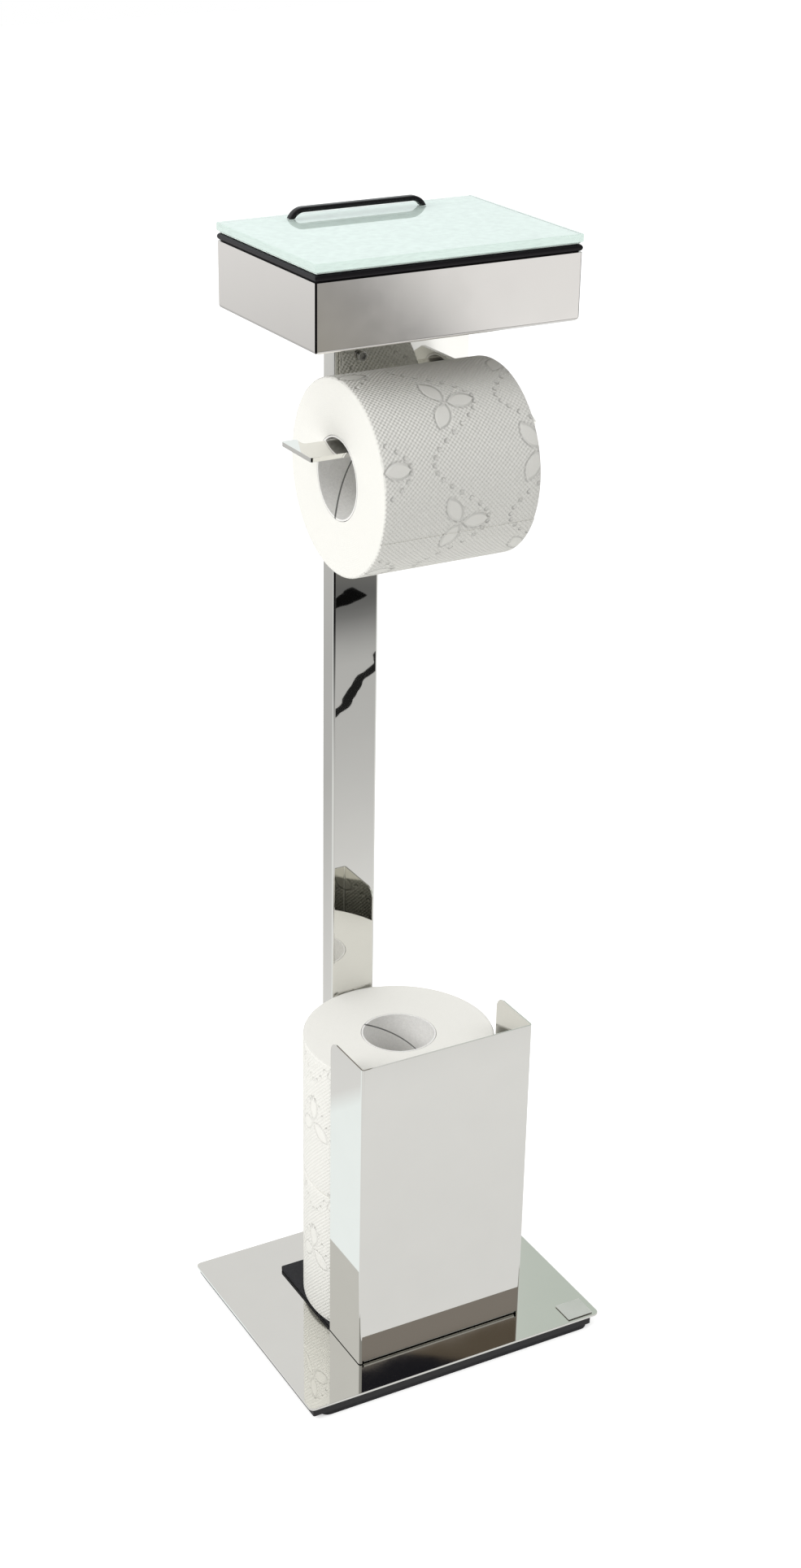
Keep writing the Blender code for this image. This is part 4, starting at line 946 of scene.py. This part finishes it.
# What it mirrors of the floor nearby, at 0.5 and 0.16 for each metre of Y: a shadow in front that
# fades towards the stand, and duller paper behind
NEAR_STOPS = (
    (0.30, 0.13), (0.32, 0.13), (0.3336, 0.15), (0.3392, 0.20), (0.3464, 0.34), (0.3528, 0.46),
    (0.3584, 0.53), (0.385, 0.57), (0.4024, 0.63), (0.4216, 0.73), (0.444, 0.86), (0.48, 0.82),
    (0.5, 0.84), (0.504, SKY_BLUE), (0.5376, SKY_BLUE), (0.5382, 0.83), (0.564, 0.77),
    (0.62, 0.54), (0.666, 0.525), (0.82, 0.68), (0.916, 0.82), (0.996, 0.90),
)
# What it mirrors of the room's upper back, by bearing
BACK_STOPS = (
    (0.0, 0.81), (0.25, 0.81), (0.5, 0.4), (0.72, 0.9), (0.80, 0.95), (0.87, DULL_GREEN),
    (0.905, DULL_GREEN), (0.922, 0.81),
)
# Soft light on matt surfaces, from the front to the back
SOFT_STOPS = ((0.0, 0.76), (1.0, 0.95))

# Painted reflections: dark streaks on the paper that only the steel sees, drawn as a cable and a
# lamp's foot so that they show in the post: the line's slope, then in metres how far it wanders,
# its offset from the stand and half its width
MARKS = (
    ("cable", 0.93, 0.040, 0.360, 0.0085),
    ("foot", 0.75, 0.05, 0.589, 0.015),
)
# The painted cable streak shows in front of one Y, and the painted foot streak in front of another
# and left of an X, in metres
CABLE_FRONT = -0.66
FOOT_FRONT, FOOT_RIGHT = -1.0, 0.618
# Share of the light that marks and the dark room take away
MARK_DARKNESS = 0.97
# Ripples of the marks' edges to the metre, one in 59 mm
RIPPLES = 17.0

# A warm patch on the front wall: bearings between which it lies, the height from which it starts,
# how steeply one looks up at where it turns brown, and the slanting line left of which it is black
PATCH_FROM, PATCH_TO, PATCH_HEIGHT = 0.56, 0.61, 0.5
BROWN_FROM = 0.9155
BLACK_SLANT, BLACK_TO = -0.225, 0.3776
WALL_GREY = (0.36, 0.36, 0.35)
PATCH_TONES = (
    ("patch", (0.30, 0.27, 0.25)), ("brown", (0.13, 0.105, 0.08)), ("black", (0.015, 0.015, 0.02)),
)


def floor_material(colour):
    """White paper, calendered.

    To the eye an even matt white with the stand's soft shadow, which a glow lifts for the camera.
    Polished steel alone sees what lies round the stand, painted on it in tones.
    """
    material, tree = start_material("White studio paper")
    place = add_node(tree, "ShaderNodeTexCoord").outputs["Object"]
    split = add_node(tree, "ShaderNodeSeparateXYZ", {0: place})
    ripple = add_node(
        tree, "ShaderNodeTexNoise", {"Vector": place, "Scale": RIPPLES, "Detail": 1.5},
    ).outputs["Fac"]
    known = {"x": split.outputs["X"], "y": split.outputs["Y"], "ripple": ripple}
    marks = []
    for name, slope, wander, offset, half_width in MARKS:
        marks += [
            (f"{name}_line", "MULTIPLY_ADD", "x", slope, "y"),
            (f"{name}_bent", "MULTIPLY_ADD", "ripple", wander, f"{name}_line"),
            (f"{name}_offset", "ADD", f"{name}_bent", offset),
            (f"{name}_away", "ABSOLUTE", f"{name}_offset"),
            (f"{name}_near", "LESS_THAN", f"{name}_away", half_width),
        ]
    add_chain(tree, "ShaderNodeMath", known, (
        ("depth_share", "MULTIPLY_ADD", "y", 0.16, 0.5),
        *BEARING_STEPS,
        ("x_square", "MULTIPLY", "x", "x"),
        ("square", "MULTIPLY_ADD", "y", "y", "x_square"),
        ("distance", "SQRT", "square"),
        ("lean", "MULTIPLY_ADD", "distance", LEAN, LEAN_OFFSET),
        ("leaning_share", "ADD", "bearing_share", "lean"),
        *rising("far", "distance", FAR_START, FAR_FADE),
        ("in_front", "LESS_THAN", "y", 0.0),
        ("far_front", "MULTIPLY", "far", "in_front"),
        # Dark room in front and to the left, mirrored in the rounded corners
        *rising("room", "distance", ROOM_START, ROOM_FADE),
        ("room_limit", "MULTIPLY_ADD", "room", ROOM_WIDER, ROOM_TO),
        ("room_end", "LESS_THAN", "bearing_share", "room_limit"),
        ("room_start", "GREATER_THAN", "bearing_share", ROOM_FROM),
        ("room_side", "MULTIPLY", "room_end", "room_start"),
        ("room_dark", "MULTIPLY", "room_side", "room"),
        # Painted reflections: the dark streaks that the post mirrors
        *marks,
        ("cable_front", "LESS_THAN", "y", CABLE_FRONT),
        ("cable", "MULTIPLY", "cable_near", "cable_front"),
        ("foot_side", "LESS_THAN", "x", FOOT_RIGHT),
        ("foot_front", "LESS_THAN", "y", FOOT_FRONT),
        ("foot_here", "MULTIPLY", "foot_side", "foot_front"),
        ("foot", "MULTIPLY", "foot_near", "foot_here"),
        ("mark", "MAXIMUM", "cable", "foot"),
        ("dark", "MAXIMUM", "mark", "room_dark"),
        ("dark_shade", "MULTIPLY_ADD", "dark", -MARK_DARKNESS, 1.0),
        # Bright paper beyond the dark front, brighter near the stand
        ("bright_side", "GREATER_THAN", "leaning_share", BRIGHT_FROM),
        ("bright_near", "LESS_THAN", "distance", BRIGHT_REACH),
        ("bright_both", "MULTIPLY", "bright_side", "bright_near"),
        ("bright", "MULTIPLY", "bright_both", "far_front"),
        ("gain", "MULTIPLY_ADD", "bright", BRIGHT_GAIN, "dark_shade"),
    ))
    near = add_node(tree, "ShaderNodeValToRGB", {"Fac": known["depth_share"]}, NEAR_STOPS)
    far = add_node(tree, "ShaderNodeValToRGB", {"Fac": known["leaning_share"]}, FAR_STOPS)
    tones = add_node(
        tree, "ShaderNodeMix",
        {"Factor": known["far_front"], 6: near.outputs[0], 7: far.outputs[0]},
        data_type="RGBA",
    )
    marked = add_node(
        tree, "ShaderNodeVectorMath", {0: tones.outputs[2], 1: known["gain"]},
        operation="MULTIPLY",
    )
    mirrored = add_node(
        tree, "ShaderNodeEmission", {"Color": marked.outputs[0], "Strength": 1.0},
    )
    matt = add_node(tree, "ShaderNodeBsdfDiffuse", {"Color": opaque(colour)})
    glow = add_node(tree, "ShaderNodeEmission", {"Color": opaque(WHITE), "Strength": 0.5})
    shown = add_node(tree, "ShaderNodeAddShader", {0: matt.outputs[0], 1: glow.outputs[0]})
    path = add_node(tree, "ShaderNodeLightPath")
    straight = add_node(
        tree, "ShaderNodeMath",
        {0: path.outputs["Is Camera Ray"], 1: path.outputs["Is Transmission Ray"]},
        operation="MAXIMUM",
    )
    lit = add_node(
        tree, "ShaderNodeMixShader",
        {0: straight.outputs[0], 1: matt.outputs[0], 2: shown.outputs[0]},
    )
    mix = add_node(
        tree, "ShaderNodeMixShader",
        {0: path.outputs["Is Glossy Ray"], 1: lit.outputs[0], 2: mirrored.outputs[0]},
    )
    add_node(tree, "ShaderNodeOutputMaterial", {"Surface": mix.outputs[0]})
    return material


def build_world():
    """Studio room: white to the camera, soft light on matt surfaces, tones for steel to mirror."""
    world = bpy.data.worlds.new("Studio")
    bpy.context.scene.world = world
    tree = bare_tree(world)
    direction = add_node(tree, "ShaderNodeTexCoord").outputs["Generated"]
    split = add_node(tree, "ShaderNodeSeparateXYZ", {0: direction})
    known = {"x": split.outputs["X"], "y": split.outputs["Y"], "z": split.outputs["Z"]}
    add_chain(tree, "ShaderNodeMath", known, (
        ("depth_share", "MULTIPLY_ADD", "y", 0.5, 0.5),
        *BEARING_STEPS,
        *rising("up", "z", 0.0, 0.08),
        *rising("high", "z", 0.42, 0.08),
        *rising("behind", "y", -0.125, 0.25),
        # The patch on the front wall; the small limit keeps the division whole at the sides
        ("front_y", "MAXIMUM", "minus_y", 0.001),
        ("steep", "DIVIDE", "z", "front_y"),
        ("above_line", "GREATER_THAN", "steep", BROWN_FROM),
        ("patch_from", "GREATER_THAN", "bearing_share", PATCH_FROM),
        ("patch_to", "LESS_THAN", "bearing_share", PATCH_TO),
        ("patch_high", "GREATER_THAN", "z", PATCH_HEIGHT),
        ("patch_side", "MULTIPLY", "patch_from", "patch_to"),
        ("patch", "MULTIPLY", "patch_side", "patch_high"),
        ("brown", "MULTIPLY", "patch", "above_line"),
        ("slanted", "MULTIPLY_ADD", "steep", BLACK_SLANT, "bearing_share"),
        ("left_part", "LESS_THAN", "slanted", BLACK_TO),
        ("black", "MULTIPLY", "brown", "left_part"),
    ))
    # Behind the stand: bluish white low down, duller higher up, green grey at the back right
    round_back = add_node(
        tree, "ShaderNodeValToRGB", {"Fac": known["bearing_share"]}, BACK_STOPS,
    ).outputs[0]
    back = add_node(
        tree, "ShaderNodeMix", {"Factor": known["high"], 6: opaque(SKY_BLUE), 7: round_back},
        data_type="RGBA",
    ).outputs[2]
    front = opaque(WALL_GREY)
    for part, tone in PATCH_TONES:
        front = add_node(
            tree, "ShaderNodeMix", {"Factor": known[part], 6: front, 7: opaque(tone)},
            data_type="RGBA",
        ).outputs[2]
    room = add_node(
        tree, "ShaderNodeMix", {"Factor": known["behind"], 6: front, 7: back}, data_type="RGBA",
    ).outputs[2]
    horizon = add_node(
        tree, "ShaderNodeValToRGB", {"Fac": known["bearing_share"]}, FAR_STOPS,
    ).outputs[0]
    mirrored = add_node(
        tree, "ShaderNodeMix", {"Factor": known["up"], 6: horizon, 7: room}, data_type="RGBA",
    ).outputs[2]
    # The soft light comes from a dome that is dark near the floor
    dome = add_node(
        tree, "ShaderNodeValToRGB", {"Fac": known["depth_share"]}, SOFT_STOPS,
    ).outputs[0]
    dome_height = add_node(
        tree, "ShaderNodeMapRange",
        {"Value": known["z"], "From Min": 0.15, "From Max": 0.40, "To Min": 0.05, "To Max": 1.0},
    ).outputs["Result"]
    soft = add_node(
        tree, "ShaderNodeVectorMath", {0: dome, 1: dome_height}, operation="MULTIPLY",
    ).outputs[0]
    path = add_node(tree, "ShaderNodeLightPath")
    lit = add_node(
        tree, "ShaderNodeMix", {"Factor": path.outputs["Is Glossy Ray"], 6: soft, 7: mirrored},
        data_type="RGBA",
    ).outputs[2]
    straight = add_node(
        tree, "ShaderNodeMath",
        {0: path.outputs["Is Camera Ray"], 1: path.outputs["Is Transmission Ray"]},
        operation="MAXIMUM",
    ).outputs[0]
    shown = add_node(
        tree, "ShaderNodeMix", {"Factor": straight, 6: lit, 7: opaque(WHITE)}, data_type="RGBA",
    ).outputs[2]
    background = add_node(tree, "ShaderNodeBackground", {"Color": shown, "Strength": 1.0})
    add_node(tree, "ShaderNodeOutputWorld", {"Surface": background.outputs[0]})


def add_lamp(name, place, target, size, power):
    """A square soft box that lights matt surfaces and isn't mirrored in the steel."""
    data = bpy.data.lights.new(name, "AREA")
    data.shape = "SQUARE"
    data.size = size
    data.energy = power
    lamp = bpy.data.objects.new(name, data)
    lamp.location = place
    lamp.rotation_euler = (Vector(target) - Vector(place)).to_track_quat("-Z", "Y").to_euler()
    lamp.visible_glossy = False
    lamp.visible_transmission = False
    lamp.visible_camera = False
    bpy.context.scene.collection.objects.link(lamp)


class BUTLER_OT_studio(Operator):
    """Floor, soft light and the camera at the photograph's angle"""

    bl_idname = "butler.studio"
    bl_label = "Studio"

    def execute(self, context):
        scene = context.scene
        mesh_data = bmesh.new()
        bmesh.ops.create_grid(mesh_data, x_segments=1, y_segments=1, size=FLOOR_HALF_WIDTH)
        mesh = bpy.data.meshes.new("studio_floor")
        mesh_data.to_mesh(mesh)
        mesh_data.free()
        mesh.materials.append(floor_material(scene.butler_finishes.floor_white))
        floor = bpy.data.objects.new("studio_floor", mesh)
        scene.collection.objects.link(floor)

        build_world()
        add_lamp(
            "soft_box_left", place=(-1.8, -0.1, 1.42), target=(0, 0, 0.4), size=1.3, power=21.0,
        )

        camera_data = bpy.data.cameras.new("photograph_view")
        camera_data.sensor_width = CAMERA_SENSOR_MM
        camera_data.lens = CAMERA_LENS_MM
        camera_data.shift_x, camera_data.shift_y = CAMERA_SHIFT
        camera = bpy.data.objects.new("photograph_view", camera_data)
        camera.location = CAMERA_PLACE
        level = math.cos(CAMERA_ELEVATION)
        ahead = Vector((
            -math.sin(CAMERA_AZIMUTH) * level,
            math.cos(CAMERA_AZIMUTH) * level,
            -math.sin(CAMERA_ELEVATION),
        ))
        camera.rotation_euler = ahead.to_track_quat("-Z", "Y").to_euler()
        scene.collection.objects.link(camera)
        scene.camera = camera
        scene.view_settings.view_transform = "Standard"
        return {"FINISHED"}


class BUTLER_PT_panel(Panel):
    """Lists the stand's sizes, finishes, pieces and studio"""

    bl_label = "Toilet butler stand"
    bl_idname = "BUTLER_PT_panel"
    bl_space_type = "VIEW_3D"
    bl_region_type = "UI"
    bl_category = "Butler"

    def draw(self, context):
        for group in (context.scene.butler_sizes, context.scene.butler_finishes):
            for key in group.bl_rna.properties.keys():
                if key not in ("name", "rna_type"):
                    self.layout.prop(group, key)
        for operator in OPERATORS:
            self.layout.operator(operator.bl_idname)


OPERATORS = (
    BUTLER_OT_base,
    BUTLER_OT_post,
    BUTLER_OT_holder,
    BUTLER_OT_bracket,
    BUTLER_OT_box,
    BUTLER_OT_lid,
    BUTLER_OT_hanging_roll,
    BUTLER_OT_spare_rolls,
    BUTLER_OT_studio,
)
CLASSES = (ButlerSizes, ButlerFinishes, *OPERATORS, BUTLER_PT_panel)


def register():
    for item in CLASSES:
        bpy.utils.register_class(item)
    bpy.types.Scene.butler_sizes = PointerProperty(type=ButlerSizes)
    bpy.types.Scene.butler_finishes = PointerProperty(type=ButlerFinishes)


def unregister():
    del bpy.types.Scene.butler_finishes
    del bpy.types.Scene.butler_sizes
    for item in reversed(CLASSES):
        bpy.utils.unregister_class(item)


def main():
    """Build every piece and the studio."""
    register()
    bpy.ops.butler.base()
    bpy.ops.butler.post()
    bpy.ops.butler.holder()
    bpy.ops.butler.bracket()
    bpy.ops.butler.box()
    bpy.ops.butler.lid()
    bpy.ops.butler.hanging_roll()
    bpy.ops.butler.spare_rolls()
    bpy.ops.butler.studio()


if __name__ == "__main__":
    main()
